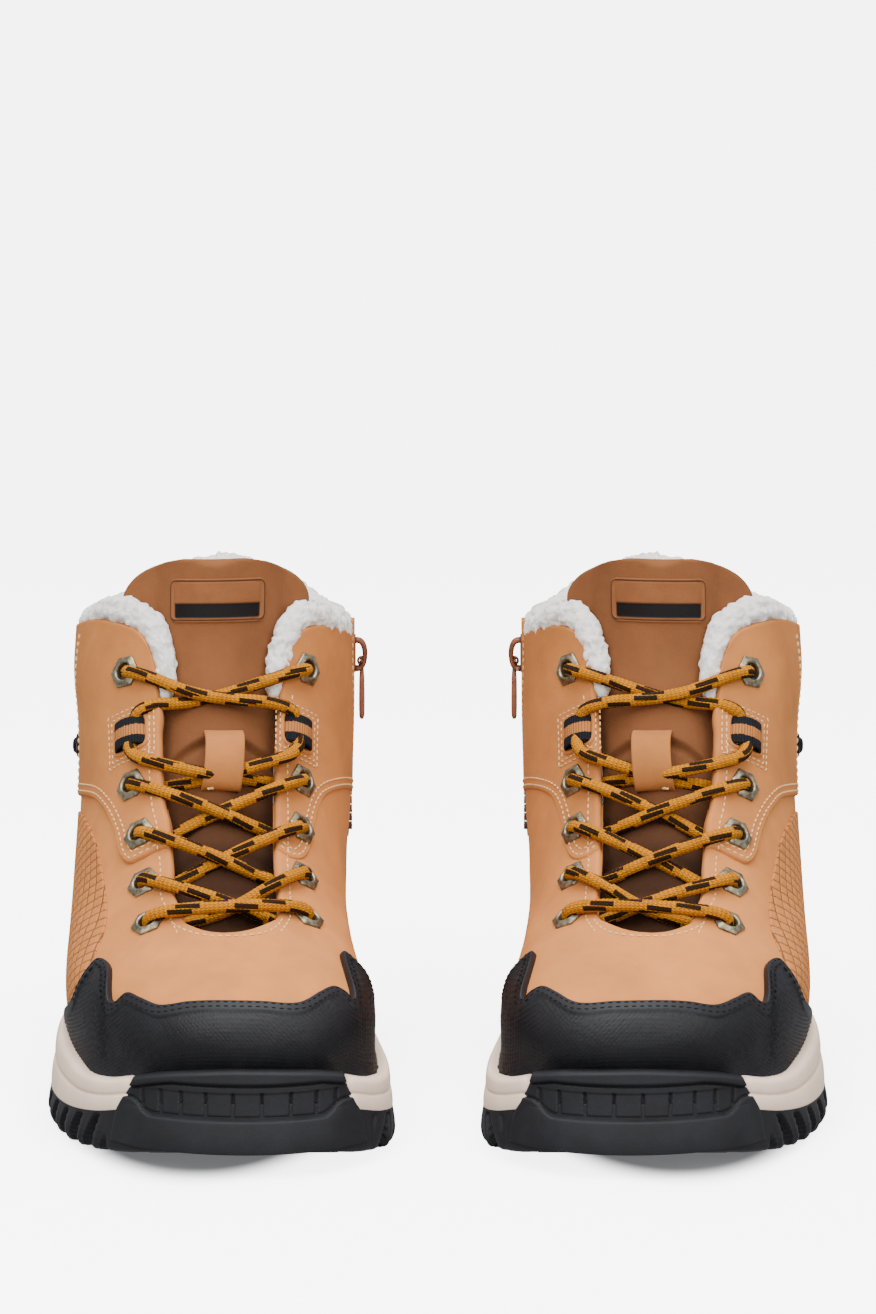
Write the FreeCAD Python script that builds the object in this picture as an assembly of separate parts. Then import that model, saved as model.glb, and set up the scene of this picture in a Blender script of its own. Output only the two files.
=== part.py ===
import FreeCAD, Part
import math
import os
from FreeCAD import Vector

# A pair of insulated lace-up boots with a side zip, each boot built from its own separate pieces.
# Millimetres. +Z is up, the toes point along -Y, and the origin is on the floor midway between the boots.
# The right boot is modelled in its own frame, +X towards its inner side, and the left boot is its mirror image.

BOOT_OFFSET = 84.0          # from the middle of the pair to each boot's own long axis
LEATHER = 2.6               # upper leather with its backing
GUARD = 2.0                 # rubber and overlays standing on the leather
LINING_DEPTH = 9.0          # inner face of the fleece below the leather's outer face
TONGUE_OUTER = 9.6          # outer face of the tongue, below the same face
TONGUE_SPLIT = 11.4         # where the tongue's cover meets its padding
TONGUE_INNER = 15.6
BOARD = 2.0                 # lasting board
OVERLAY = 1.2               # flap and side panel standing on the leather
STIFFENER = 1.4             # toe puff and heel counter
SHANK_THICK = 1.4
FOOTBED = 5.0
ROLL_RISE = 7.5             # fleece standing above the leather's top edge
LACE_D = 4.5
EYELET_HOLE_R = 3.2
EYELET_BARREL_R = 4.2
EYELET_ACROSS = 12.5        # hexagon, corner to corner
EYELET_CLEAR_R = 8.0        # holes that the flap leaves round the eyelets
WINDOW_HALF = (8.1, 6.3)    # half width and height of a loop's window
ZIP_Y = 57.0
ZIP_WALL_X = 50.0           # flat stretch of the inner side that the zip lies in
ZIP_BOTTOM = 84.0
ZIP_TOP = 168.0
SLIDER_Z = 156.0            # middle of the slider, zip closed
PIN_R = 0.80
PIN_PLAY = 0.06

# The last, as sloping sections from the sole up to past the collar. Each has its front z and y,
# its back z and y, and its half width on the outer and the inner side at six stations, toe to heel.
STATIONS = (0.0, 0.125, 0.25, 0.5, 0.75, 1.0)
SECTIONS = (
    (35, -144, 36, 144, (84, 72, 63, 45, 47, 68), (84, 72, 59, 42, 43, 66)),
    (46, -147, 48, 147, (84, 73, 64, 48, 48, 70), (82, 71, 60, 44, 44, 68)),
    (56, -142, 59, 148, (78, 71, 63, 49, 48, 70), (76, 68, 58, 46, 44, 66)),
    (64, -127, 70, 147, (69, 65, 60, 50, 48, 66), (68, 62, 55, 49, 44, 62)),
    (72, -105, 80, 145, (62, 60, 57, 51, 49, 62), (60, 56, 52, 51, 45, 58)),
    (82, -85, 90, 143, (57, 56, 55, 52, 49, 57), (56, 54, 51, 51, 46, 54)),
    (95, -67, 101, 141, (54, 54, 54, 53, 49, 54), (53, 52, 50, 51, 47, 51)),
    (112, -49, 114, 139, (53, 54, 54, 54, 49, 51), (51, 51, 50, 50.5, 47, 48)),
    (132, -32, 132, 137, (54, 56, 56, 55, 50, 50), (52, 51, 50, 50, 47, 48)),
    (151, -19, 151, 136, (56, 58, 58, 57, 51, 50), (52, 51, 50, 50, 48, 48)),
    (171, -10, 171, 136, (55, 56, 56, 56, 51, 50), (52, 52, 51, 50, 48, 48)),
    (191, -5, 191, 137, (52, 53, 53, 53, 51, 49), (51, 51, 51, 50, 48, 48)),
    (211, -2, 211, 138, (51, 52, 52, 52, 51, 49), (50, 50, 50, 50, 48, 48)),
)
LAST_SECTION = len(SECTIONS) - 1
BLOCK_TOP = 240.0
FOOT_CENTRE = (18, 12, 6, -2, -5, -8)          # the foot's curved middle line, towards the inner side
SHAFT_CENTRE = (-3, -2, 0, 0, -2, -4)
SOLE_OUTER = (98, 83, 72.5, 52, 56, 78)
SOLE_INNER = (98, 84, 68, 48, 50, 78)
SOLE_FRONT = -154.0
SOLE_LENGTH = 306.0
SOLE_PROFILE = ((-6, -3.0), (0, -2.5), (6, 0.0), (18, -1.5), (28, -3.0), (38, -4.5), (52, -5.5))

# Lines in side view, as (y, z) points that a smooth curve passes through.
TREAD_LINE = ((-170, 13), (-154, 9), (-136, 4.6), (-116, 1.4), (-98, 0), (132, 0), (152, 3.0), (170, 6))
PARTING_LINE = ((-170, 22), (-150, 21), (-122, 16.6), (-100, 14.2), (-70, 14.5), (0, 16), (60, 19.5), (110, 22), (170, 26))
FLOOR_LINE = ((-170, 34), (-150, 31), (-110, 25), (-70, 24), (0, 27), (60, 31), (110, 32), (170, 34))
RIM_LINE = ((-170, 37.5), (-150, 36.5), (-136, 31), (-126, 28.2), (-112, 27.5), (-95, 30.5), (-70, 35), (0, 40), (60, 45),
            (110, 46), (170, 48))
COLLAR_LINE = ((-170, 171), (-60, 171), (0, 169), (30, 167), (66, 168), (110, 174), (140, 182), (170, 185))

# Outlines in side view, as straight-sided (y, z) polygons.
VAMP_OUTLINE = ((-200, 0), (-200, 100), (-58, 100), (-58, 82), (-40, 60), (-30, 0))
BACKSTAY_OUTLINE = ((200, 0), (118, 0), (108, 60), (124, 110), (128, 200), (200, 200))
GUARD_OUTLINE = ((-170, 15), (-170, 61), (-137, 59.5), (-128, 58), (-118, 60), (-113, 55), (-106, 57), (-90, 68),
                 (-82, 62), (-70, 40), (-62, 15))
FLAP_OUTLINE = ((-62, 99), (-50, 92), (-44, 94), (-36, 101), (-20, 106), (0, 107.5), (66, 108), (66, 166), (-20, 166))
PANEL_OUTLINE = ((14, 80), (-20, 82), (-52, 78), (-66, 66), (-66, 54), (-20, 50), (20, 52))
PUFF_OUTLINE = ((-170, 30), (-170, 70), (-112, 70), (-104, 30))
COUNTER_OUTLINE = ((200, 30), (200, 92), (128, 92), (92, 60), (84, 30))
# The rubber turned up over the toe, in front view, as (x, z).
WRAP_OUTLINE = ((-36, 10), (-19, 40), (50, 40), (62, 10))
# The lining stops short of the eyelets, in this outline in front view, as (x, z).
LINING_THROAT = ((-38, 152), (-42, 74), (46, 74), (42, 152))
# Angle and level of the stud at the ankle.
STUD_AT = (1.45, 7.5)
# Steel shank's opposite corners.
SHANK_LOW, SHANK_HIGH = (-10, 5, 0), (6, 118, 60)

# Eyelet rows from the top down: height, and x on the outer and the inner side. Row two holds webbing loops.
ROWS = ((156, -33, 34), (134, -30.5, 31), (117, -29, 33), (101.5, -25, 33), (87, -23, 35), (76, -20, 37))
LOOP_ROW = 1
# Throat edges from the top down: height, outer x, inner x.
THROAT = ((230, -24, 28), (172, -24, 28), (160, -19, 23), (133, -16.7, 22.4), (96, -11.3, 25), (80, -7, 27))

# Tongue edges from the bottom up: height, outer x, inner x.
TONGUE_EDGES = ((80, -26, 40), (110, -29, 37), (150, -31, 34), (172, -34, 37), (186, -35, 38), (193, -32.5, 35.5),
                (197, -27, 30), (199.5, -19, 22))
PATCH_LEFT, PATCH_WIDTH, PATCH_BOTTOM, PATCH_RISE = -20.5, 43.0, 176.0, 16.0


def smooth(xs, ys, x):
    """Cubic curve through the points, held flat past both ends."""
    x = min(max(x, xs[0]), xs[-1])
    i = 0
    while i < len(xs) - 2 and x > xs[i + 1]:
        i += 1

    def slope(k):
        low, high = max(k - 1, 0), min(k + 1, len(xs) - 1)
        return (ys[high] - ys[low]) / (xs[high] - xs[low])

    h = xs[i + 1] - xs[i]
    s = (x - xs[i]) / h
    rise = (2 * s ** 3 - 3 * s ** 2 + 1) * ys[i] + (3 * s ** 2 - 2 * s ** 3) * ys[i + 1]
    return rise + h * ((s ** 3 - 2 * s ** 2 + s) * slope(i) + (s ** 3 - s ** 2) * slope(i + 1))


def section_point(i, angle):
    """Point on section i; the angle runs from the toe over the outer side to the heel and back."""
    z_front, y_front, z_back, y_back, outer, inner = SECTIONS[i]
    t = (1 - math.cos(angle)) / 2
    side = math.sin(angle)
    y = y_front + (y_back - y_front) * t
    z = z_front + (z_back - z_front) * t
    shaft = min(1.0, max(0.0, (i - 3) / 5.0))
    shaft = shaft * shaft * (3 - 2 * shaft)
    foot_t = min(1.0, max(0.0, (y + 150) / 298.0))
    middle = (1 - shaft) * smooth(STATIONS, FOOT_CENTRE, foot_t) + shaft * smooth(STATIONS, SHAFT_CENTRE, t)
    half = smooth(STATIONS, outer if side >= 0 else inner, t)
    return Vector(middle - side * half, y, z)


def last_point(angle, level):
    """Point on the boot's outer face; level 0 is at the sole and LAST_SECTION at the collar."""
    i = int(min(LAST_SECTION - 1, max(0, math.floor(level))))
    s = level - i
    p1, p2 = section_point(i, angle), section_point(i + 1, angle)
    p0 = section_point(i - 1, angle) if i > 0 else p1 * 2 - p2
    p3 = section_point(i + 2, angle) if i + 2 <= LAST_SECTION else p2 * 2 - p1
    return (p1 * 2 + (p2 - p0) * s + (p0 * 2 - p1 * 5 + p2 * 4 - p3) * s ** 2
            + (p1 * 3 - p0 - p2 * 3 + p3) * s ** 3) * 0.5


def last_normal(angle, level):
    step = 1e-3
    along = last_point(angle + step, level) - last_point(angle - step, level)
    up = last_point(angle, level + step) - last_point(angle, level - step)
    return up.cross(along).normalize()


def on_last(angle, level, height):
    """Point at a height above the leather's outer face, or below it where the height is negative."""
    return last_point(angle, level) + last_normal(angle, level) * height


def find_front(x, z):
    """Angle and level of the point of the boot's front that has this x and z."""
    angle, level = (-0.7 if x > 5 else 0.5), 1.0 + z / 20.0
    for _ in range(40):
        p = last_point(angle, level)
        pa = (last_point(angle + 1e-3, level) - p) * 1000
        pl = (last_point(angle, level + 1e-3) - p) * 1000
        det = pa.x * pl.z - pa.z * pl.x
        dx, dz = x - p.x, z - p.z
        angle += max(-0.2, min(0.2, (dx * pl.z - dz * pl.x) / det))
        level += max(-0.6, min(0.6, (pa.x * dz - pa.z * dx) / det))
        level = min(LAST_SECTION, max(0.0, level))
    return angle, level


def closed_wire(points):
    """Smooth closed wire through points spaced evenly in its parameter."""
    curve = Part.BSplineCurve()
    count = len(points)
    curve.interpolate(Points=points, PeriodicFlag=True, Parameters=[i / count for i in range(count + 1)])
    return Part.Wire([curve.toShape()])


def last_solid(height, ring_points=32):
    """The whole boot as one block, its face moved out by a height, running past both ends."""
    step = 0.5 if height > -5.0 else 1.0
    angles = [math.pi + 2 * math.pi * k / ring_points for k in range(ring_points)]
    levels = [step * k for k in range(int(LAST_SECTION / step) + 1)]
    rings = [[on_last(a, level, height) for a in angles] for level in levels]
    below = [[Vector(p.x, p.y, z) for p in rings[0]] for z in (-20.0, -5.0, 10.0)]
    above = [[Vector(p.x, p.y, z) for p in rings[-1]] for z in (218.0, 228.0, BLOCK_TOP)]
    rings = [ring + [Vector(ring[0])] for ring in below + rings + above]
    surface = Part.BSplineSurface()
    surface.interpolate(rings)
    side = surface.toShape()
    caps = []
    for z in (-20.0, BLOCK_TOP):
        rim = [e for e in side.Edges if abs(e.BoundBox.ZMin - z) < 1e-3 and abs(e.BoundBox.ZMax - z) < 1e-3]
        caps.append(Part.Face(Part.Wire(rim)))
    shell = Part.makeShell([side] + caps)
    shell.sewShape()
    return Part.makeSolid(shell)


def sole_point(angle, grow):
    t = (1 - math.cos(angle)) / 2
    side = math.sin(angle)
    half = smooth(STATIONS, SOLE_OUTER if side >= 0 else SOLE_INNER, t) + grow
    y = SOLE_FRONT - grow + (SOLE_LENGTH + 2 * grow) * t
    return smooth(STATIONS, FOOT_CENTRE, t) - side * half, y


def sole_block(extra=0.0):
    rings = []
    for z, grow in SOLE_PROFILE:
        points = [sole_point(math.pi + 2 * math.pi * k / 40, grow + extra) for k in range(40)]
        rings.append(closed_wire([Vector(x, y, z) for x, y in points]))
    return Part.makeLoft(rings, True, False)


def sheet_solid(point_at, rows, columns, outer, inner):
    """Solid between two heights over a patch of the boot's front; point_at takes row and column shares."""
    faces = []
    grids = []
    for height in (outer, inner):
        grid = [[point_at(r / (rows - 1), c / (columns - 1), height) for c in range(columns)] for r in range(rows)]
        surface = Part.BSplineSurface()
        surface.interpolate(grid)
        faces.append(surface.toShape())
        grids.append(surface)
    u0, u1, v0, v1 = grids[0].bounds()
    p0, p1, q0, q1 = grids[1].bounds()
    pairs = ((grids[0].uIso(u0), grids[1].uIso(p0)), (grids[0].uIso(u1), grids[1].uIso(p1)),
             (grids[0].vIso(v0), grids[1].vIso(q0)), (grids[0].vIso(v1), grids[1].vIso(q1)))
    faces += [Part.makeRuledSurface(a.toShape(), b.toShape()) for a, b in pairs]
    shell = Part.makeShell(faces)
    shell.sewShape()
    solid = Part.makeSolid(shell)
    if solid.Volume < 0:
        solid.reverse()
    return solid


def curve_through(points):
    curve = Part.BSplineCurve()
    curve.interpolate(points)
    return curve.toShape()


def under_line(line, bottom=-60.0, lift=0.0):
    """Everything below a side-view line, as a block wider than the boot; the tread line is straight runs."""
    pts = [Vector(-120, y, z + lift) for y, z in line]
    top = Part.makePolygon(pts).Edges if line is TREAD_LINE else [curve_through(pts)]
    first, last = pts[0], pts[-1]
    low_a, low_b = Vector(-120, first.y, bottom), Vector(-120, last.y, bottom)
    edges = top + [Part.makeLine(last, low_b), Part.makeLine(low_b, low_a), Part.makeLine(low_a, first)]
    return Part.Face(Part.Wire(edges)).extrude(Vector(240, 0, 0))


def between_lines(low, high, low_lift=0.0, high_lift=0.0):
    return under_line(high, lift=high_lift).cut(under_line(low, bottom=-80.0, lift=low_lift))


def side_prism(points, x_low=-100, x_high=100):
    """Straight-sided block whose outline is seen from the side."""
    wire = Part.makePolygon([Vector(x_low, y, z) for y, z in points + (points[0],)])
    return Part.Face(wire).extrude(Vector(x_high - x_low, 0, 0))


def front_prism(points, y_low, y_high):
    """Straight-sided block whose outline is seen from the front."""
    wire = Part.makePolygon([Vector(x, y_low, z) for x, z in points + (points[0],)])
    return Part.Face(wire).extrude(Vector(0, y_high - y_low, 0))


def box(low, high):
    return Part.makeBox(high[0] - low[0], high[1] - low[1], high[2] - low[2], Vector(*low))


def biggest(shape):
    """The largest solid of a cut, without the slivers beside it."""
    return max(shape.Solids, key=lambda s: s.Volume)


def local_frame(angle, level, height=0.0):
    """Placement on the boot's face: local Z out of the leather, local X around it, local Y up it."""
    origin = on_last(angle, level, height)
    out = last_normal(angle, level)
    up = (last_point(angle, level + 0.01) - last_point(angle, level - 0.01)).normalize()
    around = up.cross(out).normalize()
    up = out.cross(around)
    rotation = FreeCAD.Rotation(around, up, out, "ZXY")
    return FreeCAD.Placement(origin, rotation)


def placed(shape, placement):
    shape = shape.copy()
    shape.Placement = placement
    return shape


def throat_prism(extra=0.0, bottom=78.0, y_back=28.0):
    outer = tuple((x - extra, z) for z, x, _ in THROAT)
    inner = tuple((x + extra, z) for z, _, x in reversed(THROAT))
    floor = ((-2.0 - extra, bottom - extra * 0.2), (22.0 + extra, bottom - extra * 0.2))
    return front_prism(outer + floor + inner, -200.0, y_back)


def hexagon(across, thickness):
    corners = [Vector(across / 2 * math.cos(math.pi / 3 * k), across / 2 * math.sin(math.pi / 3 * k), 0)
               for k in range(7)]
    return Part.Face(Part.makePolygon(corners)).extrude(Vector(0, 0, thickness))


def eyelet_spots():
    spots = []
    for i, (z, x_outer, x_inner) in enumerate(ROWS):
        if i != LOOP_ROW:
            spots += [find_front(x_outer, z), find_front(x_inner, z)]
    return spots


def make_eyelets():
    """Ten hexagonal eyelets, each a plate with a barrel through the leather."""
    solids = []
    for angle, level in eyelet_spots():
        plate = hexagon(EYELET_ACROSS, 1.2)
        barrel = Part.makeCylinder(EYELET_BARREL_R, LEATHER + 1.2, Vector(0, 0, -LEATHER))
        hole = Part.makeCylinder(EYELET_HOLE_R, LEATHER + 4.0, Vector(0, 0, -LEATHER - 1))
        solids.append(placed(plate.fuse(barrel).cut(hole).removeSplitter(), local_frame(angle, level, 0.2)))
    return Part.makeCompound(solids)


def make_loops():
    """Two webbing loops that arch over the lace, with their ends under the leather."""
    solids = []
    for x in ROWS[LOOP_ROW][1:]:
        angle, level = find_front(x, ROWS[LOOP_ROW][0])
        outer = [Vector(-8, -6, -2.4), Vector(-4.5, -6, 2.2), Vector(0, -6, 3.6), Vector(4.5, -6, 2.2),
                 Vector(8, -6, -2.4)]
        inner = [Vector(6.6, -6, -2.4), Vector(3.6, -6, 1.3), Vector(0, -6, 2.4), Vector(-3.6, -6, 1.3),
                 Vector(-6.6, -6, -2.4)]
        wire = Part.Wire([curve_through(outer), Part.makeLine(outer[-1], inner[0]), curve_through(inner),
                          Part.makeLine(inner[-1], outer[0])])
        solids.append(placed(Part.Face(wire).extrude(Vector(0, 12, 0)), local_frame(angle, level)))
    return Part.makeCompound(solids)


def loop_windows(clear=0.0):
    """Cuts for the loops' windows, larger all round by clear."""
    cuts = []
    for x in ROWS[LOOP_ROW][1:]:
        angle, level = find_front(x, ROWS[LOOP_ROW][0])
        half_x, half_y = WINDOW_HALF[0] + clear, WINDOW_HALF[1] + clear
        window = Part.makeBox(2 * half_x, 2 * half_y, 12, Vector(-half_x, -half_y, -7))
        cuts.append(placed(window, local_frame(angle, level)))
    return cuts


def eyelet_holes(radius, rows_from=0, depth=6.0):
    cuts = []
    for angle, level in eyelet_spots()[2 * rows_from:]:
        cuts.append(placed(Part.makeCylinder(radius, depth + 4.0, Vector(0, 0, -depth)), local_frame(angle, level)))
    return cuts


# Lace ---------------------------------------------------------------------------------------------

OVER = 4.0                  # lace centre above the leather's face beside an eyelet
BELOW = -6.4                # lace centre beneath the leather


def front_spot(x, z, height):
    angle, level = find_front(x, z)
    return on_last(angle, level, height)


def throat_middle(z):
    zs = tuple(reversed([t[0] for t in THROAT]))
    outer = smooth(zs, tuple(reversed([t[1] for t in THROAT])), z)
    inner = smooth(zs, tuple(reversed([t[2] for t in THROAT])), z)
    return (outer + inner) / 2


def tongue_sheet(outer, inner):
    """One layer of the tongue, between two depths below the leather's face."""
    zs = tuple(z for z, _, _ in TONGUE_EDGES)
    left, right = tuple(a for _, a, _ in TONGUE_EDGES), tuple(b for _, _, b in TONGUE_EDGES)

    def point_at(r, c, height):
        z = zs[0] + (zs[-1] - zs[0]) * r
        x_left, x_right = smooth(zs, left, z), smooth(zs, right, z)
        return front_spot(x_left + (x_right - x_left) * c, z, height)

    return sheet_solid(point_at, 32, 17, -outer, -inner)


def strand(start_side, high):
    """One strand from its top eyelet down to its bottom one, crossing the throat between rows."""
    points = []
    side = start_side
    for i in range(len(ROWS)):
        z, x = ROWS[i][0], ROWS[i][1 + side]
        toward = 1.0 if side == 0 else -1.0
        z_next, x_next = (ROWS[i + 1][0], ROWS[i + 1][2 - side]) if i + 1 < len(ROWS) else (z, x)
        if i == 0:
            points.append(front_spot(x, z, BELOW - 5.6))
            points.append(front_spot(x, z, OVER))
            points.append(front_spot(x + toward * 9, z - 4, OVER))
        elif i == LOOP_ROW:
            points.append(front_spot(x + toward * 4, z + 11, 1.0))
            points.append(front_spot(x, z + 3, -0.3))
            points.append(front_spot(x + toward * 1.5, z - 7, 0.2))
            points.append(front_spot(x + toward * 9, z - 11, -1.0))
        else:
            points.append(front_spot(x + toward * 9, z + 3.5, BELOW))
            points.append(front_spot(x, z, BELOW))
            points.append(front_spot(x, z, OVER))
            if i + 1 < len(ROWS):
                points.append(front_spot(x + toward * 9, z - 3.5, OVER))
        if i + 1 < len(ROWS):
            z_mid = (z + z_next) / 2 - (1.0 if i != LOOP_ROW else 2.0)
            height = (-2.2 if high == (i % 2) else -7.0)
            points.append(front_spot(throat_middle(z_mid), z_mid, height))
            side = 1 - side
    return points


def tail(side):
    """Free end inside the shaft, from the end of the lace up to just inside the top eyelet."""
    sign = -1.0 if side == 0 else 1.0
    z, x = ROWS[0][0], ROWS[0][1 + side]
    return [front_spot(x + sign * 9.5, z - 38, -12.5), front_spot(x + sign * 9, z - 24, -12.5),
            front_spot(x + sign * 5, z - 9, -12.5)]


def lace_route():
    first = strand(0, 0)
    second = strand(1, 1)
    last_z = ROWS[-1][0]
    middle = throat_middle(last_z + 4)
    bar = [front_spot(middle + 13, last_z + 3.5, 3.4), front_spot(middle - 11, last_z + 3.5, 3.4)]
    return tail(0) + first + bar + list(reversed(second)) + list(reversed(tail(1)))


def tube(points, diameter):
    """Round tube along straight runs joined by tangent arcs; returns it with its length and radii."""
    edges, radii = [], []
    start = points[0]
    for i in range(1, len(points) - 1):
        here = points[i]
        back, ahead = points[i - 1] - here, points[i + 1] - here
        turn = math.pi - back.getAngle(ahead)
        radius = 0.45 * min(back.Length, ahead.Length) / math.tan(turn / 2)
        reach = 0.45 * min(back.Length, ahead.Length)
        a = here + back * (reach / back.Length)
        b = here + ahead * (reach / ahead.Length)
        bisector = (back.normalize() + ahead.normalize()).normalize()
        middle = here + bisector * (radius / math.cos(turn / 2) - radius)
        edges += [Part.LineSegment(start, a).toShape(), Part.Arc(a, middle, b).toShape()]
        radii.append(round(radius, 1))
        start = b
    edges.append(Part.LineSegment(start, points[-1]).toShape())
    path = Part.Wire(edges)
    direction = points[1] - points[0]
    profile = Part.Wire([Part.Circle(points[0], direction, diameter / 2).toShape()])
    solid = path.makePipeShell([profile], True, False, 2)
    return solid, path.Length, radii


def make_lace():
    points = lace_route()
    solid, length, radii = tube(points, LACE_D)
    print("lace length", round(length), "volume share",
          round(solid.Volume / (length * math.pi * LACE_D ** 2 / 4), 3), "valid", solid.isValid())
    print("lace radii", radii)
    aglets = []
    for end, inside in ((points[0], points[1]), (points[-1], points[-2])):
        aglets.append(Part.makeCylinder(LACE_D / 2 + 0.3, 18.0, end, (end - inside)))
    return solid, Part.makeCompound(aglets)


# Zip ----------------------------------------------------------------------------------------------

def make_zip():
    """Tape, interlocked teeth, slider and pull; the slider runs straight down the flat inner wall."""
    tape = box((ZIP_WALL_X - 2.4, ZIP_Y - 5, ZIP_BOTTOM), (ZIP_WALL_X - 1.2, ZIP_Y + 5, ZIP_TOP - 1.5))
    teeth = []
    count = int((ZIP_TOP - ZIP_BOTTOM - 4) / 1.7)
    for k in range(count):
        z = ZIP_BOTTOM + 2 + 1.7 * k
        side = -1 if k % 2 else 1
        y = ZIP_Y + side * 1.1
        teeth.append(box((ZIP_WALL_X - 1.2, y - 2.0, z), (ZIP_WALL_X + 0.1, y + 2.0, z + 1.3)))
    face = ZIP_WALL_X + 0.45
    plate = box((face, ZIP_Y - 4.6, SLIDER_Z - 7.5), (face + 1.2, ZIP_Y + 4.6, SLIDER_Z + 7.5))
    flanges = [box((ZIP_WALL_X - 0.8, y, SLIDER_Z - 7.5), (face, y + 0.9, SLIDER_Z + 7.5))
               for y in (ZIP_Y - 4.6, ZIP_Y + 3.7)]
    pin_x, pin_z = face + 3.6, SLIDER_Z - 3.0
    ears = []
    for y in (ZIP_Y - 3.4, ZIP_Y + 2.2):
        ear = side_prism_y(((face + 1.2, SLIDER_Z + 6.5), (face + 1.2, SLIDER_Z - 6.0), (face + 4.6, SLIDER_Z - 5.4),
                            (face + 5.2, SLIDER_Z - 2.0), (face + 3.4, SLIDER_Z + 4.0)), y, y + 1.2)
        ears.append(ear)
    pin = Part.makeCylinder(PIN_R, 6.8, Vector(pin_x, ZIP_Y - 3.4, pin_z), Vector(0, 1, 0))
    slider = plate.fuse(flanges + ears + [pin]).removeSplitter()
    eye = Part.makeCylinder(2.0, 3.6, Vector(pin_x, ZIP_Y - 1.8, pin_z), Vector(0, 1, 0))
    neck = box((pin_x - 0.9, ZIP_Y - 1.8, pin_z - 5.0), (pin_x + 0.9, ZIP_Y + 1.8, pin_z))
    tab = box((pin_x - 1.1, ZIP_Y - 3.2, pin_z - 23.0), (pin_x + 1.1, ZIP_Y + 3.2, pin_z - 5.0))
    hole = Part.makeCylinder(PIN_R + PIN_PLAY, 8.0, Vector(pin_x, ZIP_Y - 4, pin_z), Vector(0, 1, 0))
    tab = tab.makeFillet(0.8, [e for e in tab.Edges])
    pull = eye.fuse([neck, tab]).cut(hole).removeSplitter()
    return tape, Part.makeCompound(teeth), slider, pull


def side_prism_y(points, y_low, y_high):
    wire = Part.makePolygon([Vector(x, y_low, z) for x, z in points + (points[0],)])
    return Part.Face(wire).extrude(Vector(0, y_high - y_low, 0))


# Boot ---------------------------------------------------------------------------------------------

def make_outsole(block, guard_block):
    body = block.common(between_lines(TREAD_LINE, PARTING_LINE))
    wrap = block.common(between_lines(PARTING_LINE, RIM_LINE, low_lift=-3.0))
    wrap = wrap.common(front_prism(WRAP_OUTLINE, -200, -90)).cut(guard_block)
    body = body.fuse(biggest(wrap))
    arch = box((-80, -6, -5), (80, 46, 4.0))
    cuts = [arch, box((0, -130, -5), (5, -12, 4.5)), box((-9, 60, -5), (-4, 138, 4.5))]
    for y in list(range(-128, -14, 15)) + list(range(60, 146, 15)):
        cuts.append(box((-90, y - 2.2, -5), (90, y + 2.2, 4.5)))
    skin = sole_block(3.0).cut(sole_block(-2.6))
    fins = Part.makeCompound([box((-95, y - 1.7, -8), (95, y + 1.7, 15)) for y in range(-98, 150, 15)])
    cuts.append(skin.common(fins))
    ribs = []
    for k in range(10):
        angle = 0.50 - 0.115 * k
        x, y = sole_point(angle, -1.0)
        ribs.append(box((x - 0.5, y - 6, 17), (x + 0.5, y + 1.2, 29)))
    ring = skin.common(box((-42, -170, 11.5), (62, -118, 12.7)))
    cuts += ribs + [ring]
    return biggest(body.cut(cuts))


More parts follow.
